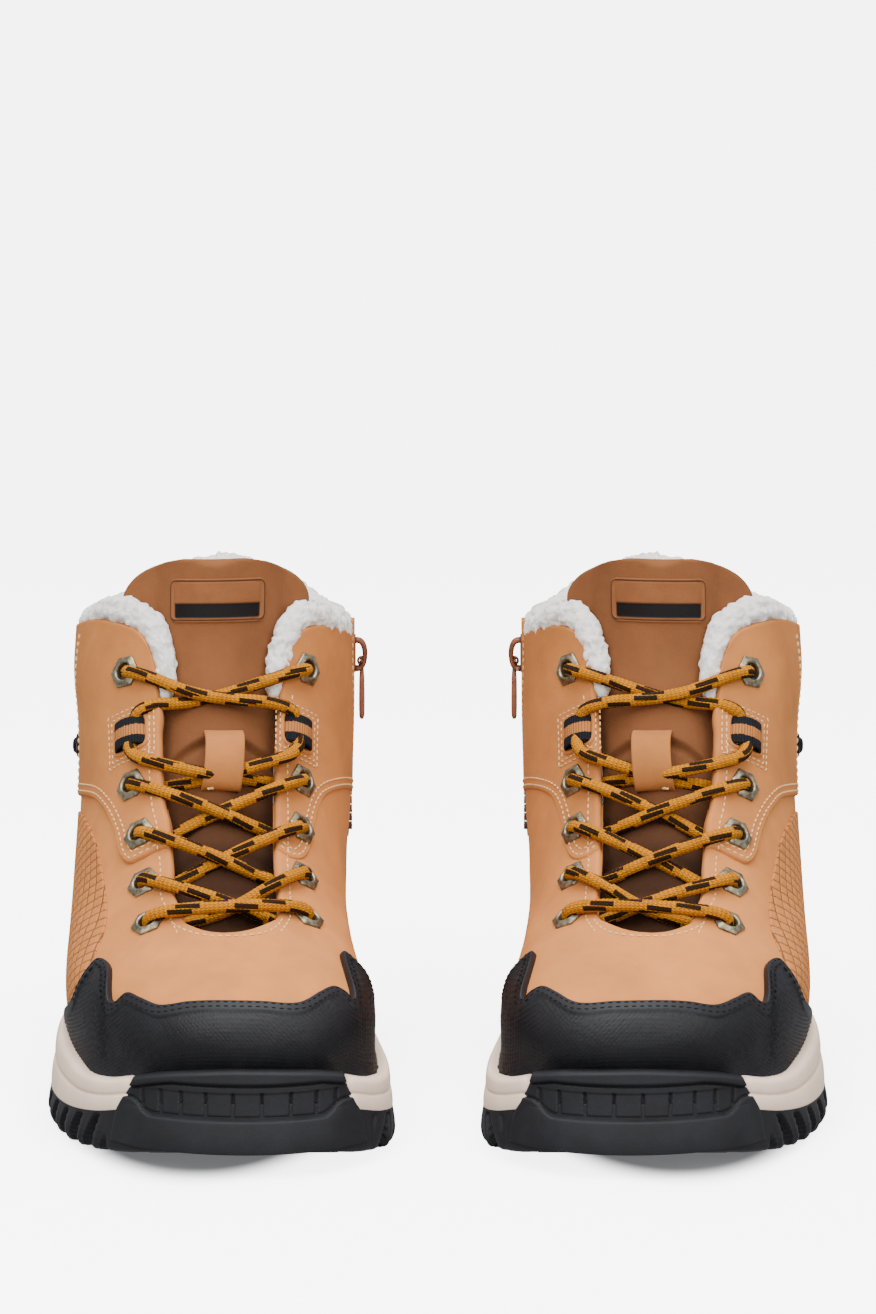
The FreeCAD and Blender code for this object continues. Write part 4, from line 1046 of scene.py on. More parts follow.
def upper_stitches():
    """Every light stitch row on one boot's upper."""
    up = slice(0, 10)
    rows = sewn(FLAP_SEAM[up], (2.3, 4.7), QUARTER_LIFT + 0.12)
    rows += sewn(INNER_SEAM[:9], (-2.3, -4.7), INNER_LIFT + 0.12)
    rows += sewn(OUTER_THROAT[4:12], (-4.6,), QUARTER_LIFT + 0.12)
    rows += sewn(OUTER_THROAT[:5], (-4.6,), 0.12)
    rows += sewn(INNER_THROAT[3:9], (4.6,), INNER_LIFT + 0.12)
    rows += sewn(INNER_THROAT[:4], (4.6,), 0.12)
    bow = np.linspace(-0.42, 0.30, 30)
    foot = np.stack((bow, 4.22 + 0.30 * np.abs((bow + 0.06) / 0.36) ** 4), -1)
    rows += sewn(foot, (0.0,), 0.12)
    rows += sewn(OUTER_SIDE, (-1.1, 1.1), QUARTER_LIFT + 0.12)
    for angle, level, lift in LOOPS:
        centre, around, up_axis, out = spot_frame(angle, level, lift + 0.12)
        for reach in (9.2, 11.2):
            a = np.linspace(0, TAU, 200) + math.pi / 4
            square = np.stack((np.cos(a), np.sin(a)), -1)
            square /= np.maximum(np.abs(square[:, :1]), np.abs(square[:, 1:]))
            square = np.clip(square, -1, 1) * (reach, reach - 0.6)
            path = centre + square[:, :1] * around + square[:, 1:] * up_axis
            rows.append(stitch_row(drop_on(path, angle, level, lift + 0.12), np.broadcast_to(out, path.shape), 0.9))
    return join(rows)


def drop_on(points, angle, level, height):
    """Points near a place on the face, brought to a height above it by Newton's steps along the face."""
    a, l = np.full(len(points), angle), np.full(len(points), level)
    for _ in range(8):
        p, pa, pl = slopes(a, l)
        d = points - p
        aa, al, ll = (pa * pa).sum(-1), (pa * pl).sum(-1), (pl * pl).sum(-1)
        ta, tl = (pa * d).sum(-1), (pl * d).sum(-1)
        det = aa * ll - al * al
        a, l = a + (ta * ll - tl * al) / det, l + (tl * aa - ta * al) / det
    return on_last(a, l, height)


def diamond_relief(width, height, depth, sharp):
    """Grooves of a net of diamonds pressed in by a depth."""

    def relief(base, down, across, distances):
        u, v = base[..., 1] / width, base[..., 2] / height
        first, second = np.abs((u + v) % 1 - 0.5), np.abs((u - v) % 1 - 0.5)
        nearest = np.minimum(0.5 - first, 0.5 - second)
        return -depth * (1 - ease(nearest, 0.02, sharp))

    return relief


def panel():
    """Side panel pressed with a net of diamonds: its grid is filled in from its four edges."""
    width, height = sizes().net_width * 1000, sizes().net_height * 1000
    angle, level = coons(PANEL_FRONT, PANEL_BACK, PANEL_FOOT, PANEL_TOP, 122, 104, 0.8, 85, 75)
    points, faces, _ = slab(angle, level, 0.9, -0.4, 0.8, diamond_relief(width, height, 0.32, 0.15))
    base = last_point(angle, level)[..., 1:].reshape(-1, 2)
    return points, faces, np.concatenate((base, base))


def guard():
    """Toe guard: rows from under the midsole up to its top edge; small pyramids below a smooth stitched rim."""
    columns = np.concatenate((np.linspace(-1.34, -1.0, 18)[:-1], np.linspace(-1.0, 1.0, 340)[:-1],
                              np.linspace(1.0, 1.29, 16)))
    top = smooth(GUARD_TOP[:, 0], GUARD_TOP[:, 1], columns)
    share = np.concatenate((np.linspace(0, 0.97, 68), (0.98, 0.988, 0.994, 0.998, 1.0)))
    level = -0.9 + (top[None] + 0.9) * share[:, None]
    angle = np.broadcast_to(columns[None], level.shape)

    pitch = sizes().guard_pitch * 1000

    def pyramids(base, down, across, distances):
        to_rim = distances[1]
        turn = base[..., 0]
        u, v = turn / pitch, down / pitch
        first, second = np.abs((u + v) % 1 - 0.5), np.abs((u - v) % 1 - 0.5)
        peak = np.minimum(first, second) * 2
        field = ease(to_rim, 4.4, 5.0)
        return 0.62 * (peak - 0.4) * field + 0.5 * (1 - field)

    return slab(angle, level, GUARD_LIFT, -0.4, 1.0, pyramids, (False, True, True, True))


def guard_stitches():
    line = GUARD_TOP[2:-2]
    return join(sewn(line, (-1.5, -3.3), GUARD_LIFT + 0.45, 0.95))


def backstay():
    levels = np.linspace(-.4, 10.42, 120)
    half = smooth(np.array((-.4, 2.0, 4.0, 6.5, 9.0, 10.5)), np.array((.78, .72, .5, .30, .24, .24)), levels)
    share = packed(30, 1.2, 60) * 2 - 1
    angle = math.pi + half[:, None] * share[None]
    level = np.broadcast_to(levels[:, None], angle.shape)
    return slab(angle, level, 2.5, 0.2, 1.3, creases, (False, True, True, True))


def backstay_stitches():
    levels = np.linspace(0.5, 10.0, 60)
    half = smooth(np.array((-.4, 2.0, 4.0, 6.5, 9.0, 10.5)), np.array((.78, .72, .5, .30, .24, .24)), levels)
    rows = []
    for side in (-1, 1):
        line = np.stack((math.pi + side * half, levels), -1)
        rows += sewn(line, (side * 1.8, side * 3.8), 2.62)
    return join(rows)


def fleece_relief(points, size=3.0):
    """Lumps of curled pile, as swellings between 0 and 1."""
    return (0.5 + 0.35 * noise3(points, size, 11) + 0.25 * noise3(points, size * 0.5, 12)
            + 0.12 * noise3(points, size * 0.26, 13))


ROLL_PATH = lists((.30, 8.85), (.30, 9.15), (.31, 9.45), (.345, 9.75), (.40, 10.02), (.48, 10.22), (.6, 10.33),
                  (.8, 10.36), (1.04, 10.30), (1.5, 10.08), (2.1, 10.12), (2.65, 10.5), (math.pi, 10.75),
                  (TAU - 2.65, 10.5), (TAU - 2.1, 10.08), (TAU - 1.5, 9.93), (TAU - 1.17, 10.08),
                  (TAU - .88, 10.25), (TAU - .76, 10.22), (TAU - .67, 10.05), (TAU - .61, 9.75), (TAU - .575, 9.4),
                  (TAU - .555, 9.1), (TAU - .545, 8.85))


def collar_roll():
    """Fleece rolled over the collar and down both throat edges, its pile in relief."""
    path = along_edge(ROLL_PATH, 540)
    share = np.linspace(0, 1, len(path))
    end = np.sqrt(np.clip(np.minimum(share, 1 - share) / 0.03, 0, 1))
    around = np.minimum(path[:, 0], TAU - path[:, 0])
    inward = ease(around, 0.75, 1.25)
    centre = on_last(path[:, 0], path[:, 1] - 0.2 * inward, -3.6 - 1.7 * inward)
    out = last_normal(path[:, 0], path[:, 1])
    radius = (4.3 + 1.5 * ease(np.minimum(share, 1 - share), 0.02, 0.14)) * (0.25 + 0.75 * end)
    ring = circle(1.0, 1.0, 64)[None] * radius[:, None, None]
    points, faces, uv = tube(centre, out, ring)
    rows = len(path) + 2
    grid = points.reshape(rows, 64, 3)
    middle = np.concatenate((centre[:1], centre, centre[-1:]))[:, None]
    away = unit(grid - middle)
    swell = (fleece_relief(grid) - 0.5) * sizes().pile_depth * 1000
    swell[0] = swell[-1] = 0
    grid = grid + away * (swell * np.concatenate(([0], end, [0]))[:, None])[..., None]
    return grid.reshape(-1, 3), faces, uv


def lining():
    """Fleece inside the shaft and foot, from the throat's one edge round the heel to the other."""
    levels = np.linspace(0.55, 10.1, 100)
    low = np.where(levels < 4.3, 0.02, np.interp(levels, (4.3, 4.6, 8, 10.1), (0.1, 0.36, 0.42, 0.46)))
    high = np.where(levels < 4.3, 0.02, np.interp(levels, (4.3, 4.6, 8, 10.1), (0.2, 0.60, 0.66, 0.72)))
    columns = np.linspace(0, 1, 210)
    angle = low[:, None] + (TAU - high - low)[:, None] * columns[None]
    level = np.broadcast_to(levels[:, None], angle.shape)
    base, normal = last_point(angle, level), last_normal(angle, level)
    pile = fleece_relief(base)
    inner = base - normal * (LINING_DEPTH - 0.4 + 1.4 * pile)[..., None]
    outer = base - normal * 2.7
    rows, count = angle.shape
    return closed_pair(inner, outer, np.stack(np.meshgrid(np.arange(count), np.arange(rows)), -1) * 1.0)


def footbed():
    """Padded insole between the lining's walls, dished under the heel."""
    t = (1 - np.cos(np.linspace(0.02, math.pi - 0.02, 90))) / 2
    share = packed(40, 2.5, 80) * 2 - 1
    a = np.arccos(1 - 2 * t)
    outer, inner = last_point(a, 0.55), last_point(-a, 0.55)
    middle = (outer + inner) / 2
    half = (inner - outer)[:, 0] / 2 - LINING_DEPTH + 0.5
    y = middle[:, 1] * 0.955
    x = middle[:, 0][:, None] + half[:, None] * share[None]
    y = np.broadcast_to(y[:, None], x.shape)
    floor = line_at(FLOOR_LINE, y) + 2.1
    round_edge = dome(np.minimum(1 - np.abs(share), 1)[None] * half[:, None], 2.5)
    ends = dome(np.minimum(np.arange(90), np.arange(90)[::-1])[:, None] * 3.0, 2.5)
    dish = 1.2 * bump(np.broadcast_to(share[None], x.shape), 0, 0.7) * ease(y, 60, 110)
    top = floor + 5.2 * np.minimum(round_edge, ends) - dish + 0.4 * fleece_relief(np.stack((x, y, floor), -1))
    upper, lower = np.stack((x, y, np.maximum(top, floor)), -1), np.stack((x, y, floor), -1)
    return closed_pair(upper, lower, np.stack((x, y), -1))


# ---- tongue

TONGUE_EDGES = np.array(((70, -24, 42), (80, -26, 42), (110, -29, 39), (150, -31, 36), (166, -37, 38), (176, -42, 41.5),
                         (184, -43, 42.5), (190, -40, 39.5), (194.5, -34, 33.5), (197.8, -25, 24.5),
                         (199.6, -13, 13)), float)
RIDGES = (81.0, 90.5, 101.5, 112.5)
PANEL_STEP = 138.0
TONGUE_FOOT, TONGUE_TOP, WING = 72.0, 199.5, 28.0
PATCH = (-20.5, 176.0, 43.0, 16.0)              # left, foot, width, height
KEEPER_X, KEEPER_LOW, KEEPER_HIGH, KEEPER_WIDTH = 5.0, 121.4, 138.6, 14.6


def tongue_grid(rows, columns, inset=0.0):
    """x and z over the tongue, whose top is an arch between its edges."""
    z = TONGUE_FOOT + (TONGUE_TOP - inset - TONGUE_FOOT) * packed(rows, 3.0, 130)
    left = smooth(TONGUE_EDGES[:, 0], TONGUE_EDGES[:, 1], z) + inset
    right = smooth(TONGUE_EDGES[:, 0], TONGUE_EDGES[:, 2], z) - inset
    share = packed(columns, 3.0, 66)
    return left[:, None] + (right - left)[:, None] * share[None], np.broadcast_to(z[:, None], (len(z), len(share)))


def tongue_point(x, z, height):
    """Point at a height over the tongue's face. Near the middle it follows the boot's front; past the wings' roots it
    runs straight on, along the front's slope there."""
    middle = throat_middle(z)
    held = np.clip(x, middle - WING, middle + WING)
    angle, level = find_front(held, z)
    base = last_point(angle, level)
    pa = (last_point(angle + 1e-3, level) - base) * 1000
    pl = (last_point(angle, level + 1e-3) - base) * 1000
    det = pa[..., 0] * pl[..., 2] - pa[..., 2] * pl[..., 0]
    slope = pa * (pl[..., 2] / det)[..., None] - pl * (pa[..., 2] / det)[..., None]
    height = np.asarray(height, float)
    return base + last_normal(angle, level) * height[..., None] + slope * (x - held)[..., None]


def tongue_height(x, z):
    """Height of the tongue's outer face: a crowned upper panel over a row of soft pillows."""
    middle = throat_middle(z)
    side = (x - middle) / 30.0
    crown = 1 - np.clip(np.abs(side), 0, 1) ** 2.2
    step = PANEL_STEP - 4.6 * ((x - 3.0) / 16.0) ** 2
    upper = ease(z, step - 0.3, step + 0.9)
    tall = 3.0 + 2.6 * ease(z, 158, 186)
    valley = np.zeros(np.shape(z))
    for ridge in RIDGES:
        bow = ridge - 3.4 * ((x - middle) / 15.0) ** 2
        valley = valley + np.exp(-np.abs((z - bow) / 2.2) ** 1.3)
    soft = 0.25 * noise3(np.stack((x, np.asarray(z, float), 0 * x), -1), 12.0, 21)
    lower = 1.5 * crown - 2.3 * valley * (1 - upper)
    under = 1.5 * bump(z, step - 1.2, 1.5) * (1 - upper)
    return -TONGUE_OUTER + lower * (1 - upper) + (tall * crown) * upper + soft - under


def tongue():
    """Padded tongue: its crowned outer face, its thick rounded edges and its inner face in one closed form."""
    x, z = tongue_grid(160, 76)
    base = tongue_point(x, z, 0 * x)
    across = np.cumsum(np.linalg.norm(np.diff(base, axis=1, prepend=base[:, :1]), axis=-1), axis=1)
    down = np.cumsum(np.linalg.norm(np.diff(base, axis=0, prepend=base[:1]), axis=-1), axis=0)
    edge = np.minimum(np.minimum(across, across[:, -1:] - across), down[-1:] - down)
    round_edge = dome(edge, 3.6)
    middle = -12.6
    top = middle + (tongue_height(x, z) - middle) * round_edge
    low = middle + (-TONGUE_INNER + 0.8 - middle) * round_edge
    return closed_pair(tongue_point(x, z, top), tongue_point(x, z, low), np.stack((across, down), -1))


def tongue_fleece():
    """Pile on the tongue's inner face, standing a little over its top edge."""
    x, z = tongue_grid(100, 60, 1.5)
    base = tongue_point(x, z, 0 * x)
    across = np.cumsum(np.linalg.norm(np.diff(base, axis=1, prepend=base[:, :1]), axis=-1), axis=1)
    down = np.cumsum(np.linalg.norm(np.diff(base, axis=0, prepend=base[:1]), axis=-1), axis=0)
    round_edge = dome(np.minimum(np.minimum(across, across[:, -1:] - across), down[-1:] - down), 2.6)
    pile = fleece_relief(base)
    top = -14.6 + 0.8 * round_edge
    low = -14.8 - (0.9 + 1.5 * pile) * round_edge
    return closed_pair(tongue_point(x, z, top), tongue_point(x, z, low), np.stack((across, down), -1))


def tongue_patch():
    """Rounded plain patch with a sunk outline inside its edge."""
    left, foot, width, rise = PATCH
    a, b = np.linspace(-1, 1, 100), np.linspace(-1, 1, 46)
    # A rounded rectangle: the square's corners are drawn in so that its edge has a 3 mm round.
    s, t = np.meshgrid(a, b)
    half_w, half_h, corner = width / 2, rise / 2, 3.2
    u, v = s * half_w, t * half_h
    reach = np.maximum(np.abs(s), np.abs(t))
    ring_u, ring_v = u / np.maximum(reach, 1e-6), v / np.maximum(reach, 1e-6)
    du, dv = np.clip(np.abs(ring_u) - (half_w - corner), 0, None), np.clip(np.abs(ring_v) - (half_h - corner), 0, None)
    far = np.hypot(du, dv)
    pull = np.where((du > 0) & (dv > 0), corner / np.maximum(far, 1e-6), 1.0)
    ru = np.where((du > 0) & (dv > 0), np.sign(ring_u) * (half_w - corner + du * np.minimum(pull, 1)), ring_u)
    rv = np.where((du > 0) & (dv > 0), np.sign(ring_v) * (half_h - corner + dv * np.minimum(pull, 1)), ring_v)
    u, v = ru * reach, rv * reach
    inset = (1 - reach) * half_h
    x, z = left + half_w + u, foot + half_h + v
    groove = bump(inset, 0.95, 0.28)
    bar = (1 - ease(np.abs(u), 18.3, 18.8)) * (1 - ease(np.abs(v + 3.7), 2.4, 2.8))
    top = tongue_height(x, z) - 0.1 + 0.75 * dome(inset, 0.5) - 0.35 * groove - 0.35 * bar
    low = tongue_height(x, z) - 0.5
    return closed_pair(tongue_point(x, z, top), tongue_point(x, z, low), np.stack((u, v), -1))


def rounded_bar(width, thick, corner, count=6):
    """Outline of a bar with round corners, as side and up offsets."""
    a = np.linspace(0, math.pi / 2, count)
    quarter_round = np.stack((np.cos(a), np.sin(a)), -1) * corner
    shift = np.array((width / 2 - corner, thick / 2 - corner))
    corners = []
    for k, (sx, sy) in enumerate(((1, 1), (-1, 1), (-1, -1), (1, -1))):
        q = quarter_round if k % 2 == 0 else quarter_round[::-1]
        corners.append((q + shift) * (sx, sy))
    return np.concatenate(corners)


def flat_uv(part, ring):
    """UV of a swept bar: along it, and across it from its middle."""
    points, faces, uv = part
    rows = len(points) // len(ring)
    return points, faces, np.stack((uv[:, 0], np.tile(ring[:, 0], rows)), -1)


def keeper():
    """Leather strap over the lace, its ends sewn down on the tongue."""
    z = np.array((KEEPER_LOW + 1.6, KEEPER_LOW - 0.2, KEEPER_LOW + 0.6, KEEPER_LOW + 4, (KEEPER_LOW + KEEPER_HIGH) / 2,
                  KEEPER_HIGH - 4, KEEPER_HIGH - 0.5, KEEPER_HIGH + 0.4, KEEPER_HIGH - 0.8))
    h = np.array((-9.8, -7.6, -4.0, -0.6, 0.7, -0.4, -4.0, -6.8, -8.6))
    run = np.linspace(0, len(z) - 1, 70)
    order = np.arange(len(z))
    path_z, path_h = smooth(order, z, run), smooth(order, h, run)
    centre = front(np.full(len(run), KEEPER_X), path_z, path_h)
    side = np.broadcast_to(np.array((1.0, 0.0, 0.0)), centre.shape)
    tangent = unit(np.gradient(centre, axis=0))
    up = unit(np.cross(side, tangent))
    ring = rounded_bar(KEEPER_WIDTH, 1.5, 0.6, 6)
    return flat_uv(tube(centre, up, ring), ring)


def knots():
    """Thread bar tacks at the keeper's foot."""
    centre = front(np.array((-0.6, 0.6, 1.6)), np.array((KEEPER_LOW + 0.2, KEEPER_LOW + 0.5, KEEPER_LOW + 0.1)),
                   np.array((-6.6, -6.2, -6.6)))
    a = np.linspace(0, 1, 30)
    path = centre[0] + (centre[2] - centre[0]) * a[:, None]
    path = path + np.stack((0.6 * np.sin(a * 19), -0.5 * np.abs(np.cos(a * 15)), 0.7 * np.cos(a * 17)), -1)
    return tube(path, np.broadcast_to(np.array((0.0, -1.0, 0.3)), path.shape), circle(0.42, 0.42, 8))


# ---- hardware

def hexagonal(radius, angle, _row):
    """Radius drawn out to a hexagon on the flange's rows and left round on the barrel's."""
    share = np.clip((radius - 4.2) / 1.6, 0, 1)
    sixth = (angle + math.pi / 6) % (math.pi / 3) - math.pi / 6
    return radius * (1 + share * (1.0 / np.cos(sixth) * 0.93 - 1))


def eyelets():
    """Hexagonal flange that slopes up to a round lip, and a barrel through the leather."""
    profile = ((6.15, 0.0), (6.25, 0.35), (6.1, 0.75), (5.75, 1.0), (4.9, 1.25), (4.35, 1.62), (3.95, 1.72),
               (3.5, 1.55), (3.25, 1.1), (3.15, 0.3), (3.15, -2.6), (3.5, -3.3), (4.7, -3.5), (4.9, -3.1),
               (4.1, -2.8), (4.0, -0.4), (5.6, -0.3), (6.0, -0.2))
    parts = []
    for angle, level, lift in EYELETS:
        centre, around, up, out = spot_frame(angle, level, lift + 0.05)
        turn = math.radians(30)
        a1 = around * math.cos(turn) + up * math.sin(turn)
        a2 = -around * math.sin(turn) + up * math.cos(turn)
        part = turned(centre, a1, a2, out, profile, 48, hexagonal)
        rows = len(profile)
        closing = np.stack((np.arange(48) + (rows - 1) * 48, (np.arange(48) + 1) % 48 + (rows - 1) * 48,
                            (np.arange(48) + 1) % 48, np.arange(48)), -1)
        parts.append((part[0], np.concatenate((part[1], closing)), part[2]))
    return join(parts)


def loops():
    """Webbing bands that arch over the lace, their ends tucked into their windows."""
    parts = []
    ring = rounded_bar(11.4, 1.15, 0.5, 5)
    for angle, level, lift in LOOPS:
        centre, around, up, out = spot_frame(angle, level, lift)
        x = np.array((-7.2, -7.0, -6.3, -4.6, -2.0, 0, 2.0, 4.6, 6.3, 7.0, 7.2))
        h = np.array((-4.6, -2.4, 0.2, 2.0, 2.9, 3.1, 2.9, 2.0, 0.2, -2.4, -4.6))
        run = np.linspace(0, len(x) - 1, 60)
        order = np.arange(len(x))
        path = (centre + smooth(order, x, run)[:, None] * around + smooth(order, h, run)[:, None] * out)
        tangent = unit(np.gradient(path, axis=0))
        normal = unit(np.cross(tangent, up))
        normal = normal * np.sign((normal * out).sum(-1).mean() or 1.0)
        parts.append(flat_uv(tube(path, normal, ring), ring))
    return join(parts)


def window_rims():
    """Rolled leather edge round each webbing loop's window."""
    parts = []
    for angle, level, lift in LOOPS:
        centre, around, up, out = spot_frame(angle, level)
        a = np.arange(160) / 160 * TAU
        square = np.sign(np.stack((np.cos(a), np.sin(a)), -1)) * np.abs(np.stack((np.cos(a), np.sin(a)), -1)) ** 0.42
        path = centre + square[:, :1] * (WINDOW[0] + 0.55) * around + square[:, 1:] * (WINDOW[1] + 0.75) * up
        path = drop_on(path, angle, level, lift - 0.25)
        parts.append(tube(path, np.broadcast_to(out, path.shape), circle(0.95, 0.95, 12), closed=True))
    return join(parts)


def ankle_stud():
    """Domed rivet head on a collar."""
    centre, around, up, out = spot_frame(1.45, 7.5, QUARTER_LIFT - 0.2)
    profile = ((0.0, 2.6), (1.2, 2.55), (2.2, 2.3), (2.9, 1.8), (3.15, 1.3), (3.6, 1.15), (4.3, 1.0), (4.6, 0.6),
               (4.6, 0.1), (4.4, -0.3), (0.0, -0.3))
    return turned(centre, around, up, out, profile, 40)


# ---- lace

def strand(start_side, high):
    """One strand's points from its top eyelet down to its bottom one, crossing the throat between rows."""
    points, side = [], start_side
    for i, row in enumerate(ROWS):
        z, x = row[0], row[1 + side]
        toward = 1.0 if side == 0 else -1.0
        if i == 0:
            points += [(x, z, BELOW - 5.6), (x, z, OVER), (x + toward * 9, z - 1, OVER)]
        elif i == LOOP_ROW:
            points += [(x + toward * 5, z + 10, 4.6), (x, z + 2.5, -0.4), (x + toward * 1.5, z - 7.5, 4.4),
                       (x + toward * 11, z - 9.5, 3.6)]
        else:
            points += [(x + toward * 9, z + 3.5, BELOW), (x, z, BELOW), (x, z, OVER)]
            if i + 1 < len(ROWS):
                points.append((x + toward * 9, z - 1, OVER))
        if i + 1 < len(ROWS):
            z_middle = z + (ROWS[i + 1][0] - z) * CROSSING[i][0]
            height = -2.2 if high == (i % 2) else -7.0
            points.append((float(throat_middle(z_middle)) - CROSSING[i][1], z_middle, height))
            side = 1 - side
    return points


def tail(side):
    """Free end inside the shaft, up to just inside the top eyelet."""
    sign = -1.0 if side == 0 else 1.0
    z, x = ROWS[0][0], ROWS[0][1 + side]
    return [(x + sign * 9.5, z - 38, -12.5), (x + sign * 9, z - 24, -12.5), (x + sign * 5, z - 9, -12.5)]


def lace_route():
    """The lace's points from one free end to the other, as (x, y, z) on the right boot."""
    last_z = ROWS[-1][0]
    middle = float(throat_middle(last_z + 4))
    bar = [(middle + 13, last_z + 3.5, 3.4), (middle - 11, last_z + 3.5, 3.4)]
    spots = np.array(tail(0) + strand(0, 0) + bar + strand(1, 1)[::-1] + tail(1)[::-1])
    return front(spots[:, 0], spots[:, 1], spots[:, 2])


def lace_line(side):
    """Points along the lace's smooth line, a NURBS spline with the route's points as its control points."""
    route = to_row(lace_route(), side)
    curve = bpy.data.curves.new(side + "_lace_line", "CURVE")
    curve.dimensions = "3D"
    curve.resolution_u = 24
    spline = curve.splines.new("NURBS")
    spline.points.add(len(route) - 1)
    spline.points.foreach_set("co", np.c_[route, np.ones(len(route))].ravel())
    spline.order_u = 3
    spline.use_endpoint_u = True
    holder = bpy.data.objects.new(curve.name, curve)
    bpy.context.scene.collection.objects.link(holder)
    bpy.context.view_layer.update()
    mesh = bpy.data.meshes.new_from_object(holder)
    points = np.empty(len(mesh.vertices) * 3)
    mesh.vertices.foreach_get("co", points)
    bpy.data.objects.remove(holder)
    bpy.data.curves.remove(curve)
    bpy.data.meshes.remove(mesh)
    return points.reshape(-1, 3)


def even_path(points, step):
    run = np.concatenate(([0], np.cumsum(np.linalg.norm(np.diff(points, axis=0), axis=-1))))
    at = np.linspace(0, run[-1], int(run[-1] / step) + 1)
    return np.stack([np.interp(at, run, points[:, k]) for k in range(3)], -1), run[-1]


def parallel_up(path):
    """A direction square to the path at each point, turning as little as it can along it."""
    tangent = unit(np.gradient(path, axis=0))
    up = np.empty_like(path)
    start = np.cross(tangent[0], (1.0, 0.0, 0.0))
    up[0] = start / np.linalg.norm(start)
    for k in range(1, len(path)):
        moved = up[k - 1] - tangent[k] * np.dot(up[k - 1], tangent[k])
        up[k] = moved / np.linalg.norm(moved)
    return up


def make_lace(side):
    """Braided round lace: a tube along the line, its braid's ridges in relief."""
    line = lace_line(side)
    path, length = even_path(line, 0.00055)
    up = parallel_up(path)
    count = 20
    around = np.arange(count + 1) / count
    run = np.linspace(0, length, len(path))
    lane = around * 14.0
    zigzag = np.abs(lane % 1 - 0.5)
    chevron = (run[:, None] / 0.0016 + zigzag[None] * 1.3) % 1
    ridge = ease(1 - np.abs(chevron - 0.5) * 2, 0, 0.6) * (1 - zigzag[None] * 1.4)
    radius = sizes().lace_diameter / 2 * (1.0 + 0.09 * ridge)
    a = around * TAU
    _, sideways, up = path_frame(path, up)
    ring = (path[:, None] + sideways[:, None] * (radius * np.cos(a))[..., None]
            + up[:, None] * (radius * np.sin(a))[..., None])
    ring = np.concatenate((np.broadcast_to(path[:1, None], (1, count + 1, 3)), ring,
                           np.broadcast_to(path[-1:, None], (1, count + 1, 3))))
    run = np.concatenate((run[:1], run, run[-1:]))
    uv = np.stack(np.broadcast_arrays(run[:, None], around[None] * 0.01), -1)
    piece = make_mesh(side + "_braided_lace", ring.reshape(-1, 3), grid_faces(len(run), count + 1), uv.reshape(-1, 2),
                      finish("lace"), merge=1e-6)
    return piece, line, length


def make_tips(side, line):
    """Clear crimped tips on the lace's two ends."""
    parts = []
    for end in (line, line[::-1]):
        path, _ = even_path(end, 0.0008)
        run = np.arange(len(path)) * 0.0008
        path = path[run < 0.018] * 1000
        r = 2.55 + 0.10 * np.cos(np.arange(len(path)) / len(path) * TAU * 3)
        ring = circle(1.0, 1.0, 20)[None] * r[:, None, None]
        parts.append(tube(path, parallel_up(path), ring))
    points, faces, uv = join(parts)
    return make_mesh(side + "_lace_tips", points * 0.001, faces, uv * 0.001, finish("tip"))


# ---- zip

def box_part(low, high, corner=0.3, cuts=5):
    """Box with rounded edges: a rounded bar carried from one end to the other, its ends drawn in."""
    low, high = np.asarray(low, float), np.asarray(high, float)
    size, middle = high - low, (low + high) / 2
    corner = min(corner, size.min() / 2 * 0.98)
    a = np.linspace(0, math.pi / 2, cuts)
    z = np.concatenate((low[2] + corner * (1 - np.sin(a[::-1])), high[2] - corner * (1 - np.sin(a))))
    shrink = np.concatenate((corner * (1 - np.cos(a[::-1])), corner * (1 - np.cos(a))))
    rings = np.stack([rounded_bar(size[0] - 2 * s, size[1] - 2 * s, max(corner - s, 0.01), cuts) for s in shrink])
    centre = np.stack((np.full(len(z), middle[0]), np.full(len(z), middle[1]), z), -1)
    points = np.concatenate((rings, np.broadcast_to(z[:, None, None], rings.shape[:2] + (1,))), -1)
    points[..., 0] += middle[0]
    points[..., 1] += middle[1]
    points = np.concatenate((np.broadcast_to(centre[:1, None], (1,) + points.shape[1:]), points,
                             np.broadcast_to(centre[-1:, None], (1,) + points.shape[1:])))
    uv = points[..., :2].reshape(-1, 2)
    return points.reshape(-1, 3), grid_faces(points.shape[0], points.shape[1], False, True), uv


def zip_slider():
    """Slider body: a rounded plate with flanges, and two ears that hold the pull's pin."""
    face, y = ZIP_WALL_X + 0.45, ZIP_Y
    z = SLIDER_Z + np.linspace(-7.5, 7.5, 40)
    share = np.linspace(-1, 1, 40)
    half = 4.6 * (0.80 + 0.20 * share) * np.sqrt(np.clip(1 - np.abs(share) ** 8, 0.02, 1))
    rings = np.stack([rounded_bar(1.5, 2 * h, 0.5, 5) for h in half])
    path = np.stack((np.full(40, face + 0.5), np.full(40, y), z), -1)
    plate = tube(path, np.broadcast_to(np.array((0.0, 1.0, 0.0)), path.shape), rings)
    parts = [plate]
    for side in (-1, 1):
        parts.append(box_part((ZIP_WALL_X - 0.7, y + side * 4.15 - 0.45, SLIDER_Z - 6.8),
                              (face + 0.4, y + side * 4.15 + 0.45, SLIDER_Z + 6.8), 0.35))
        bow = np.linspace(0, math.pi, 30)
        arch = np.stack((face + 0.9 + 4.0 * np.sin(bow) ** 0.6, np.full(30, y + side * 2.4),
                         SLIDER_Z - 0.4 - 5.6 * np.cos(bow)), -1)
        parts.append(tube(arch, np.broadcast_to(np.array((0.0, 1.0, 0.0)), arch.shape), rounded_bar(1.9, 2.2, 0.7, 5)))
    pin = np.stack((np.full(8, face + 3.6), np.linspace(y - 3.1, y + 3.1, 8), np.full(8, SLIDER_Z - 3.0)), -1)
    parts.append(tube(pin, np.broadcast_to(np.array((0.0, 0.0, 1.0)), pin.shape), circle(0.78, 0.78, 16)))
    return join(parts)


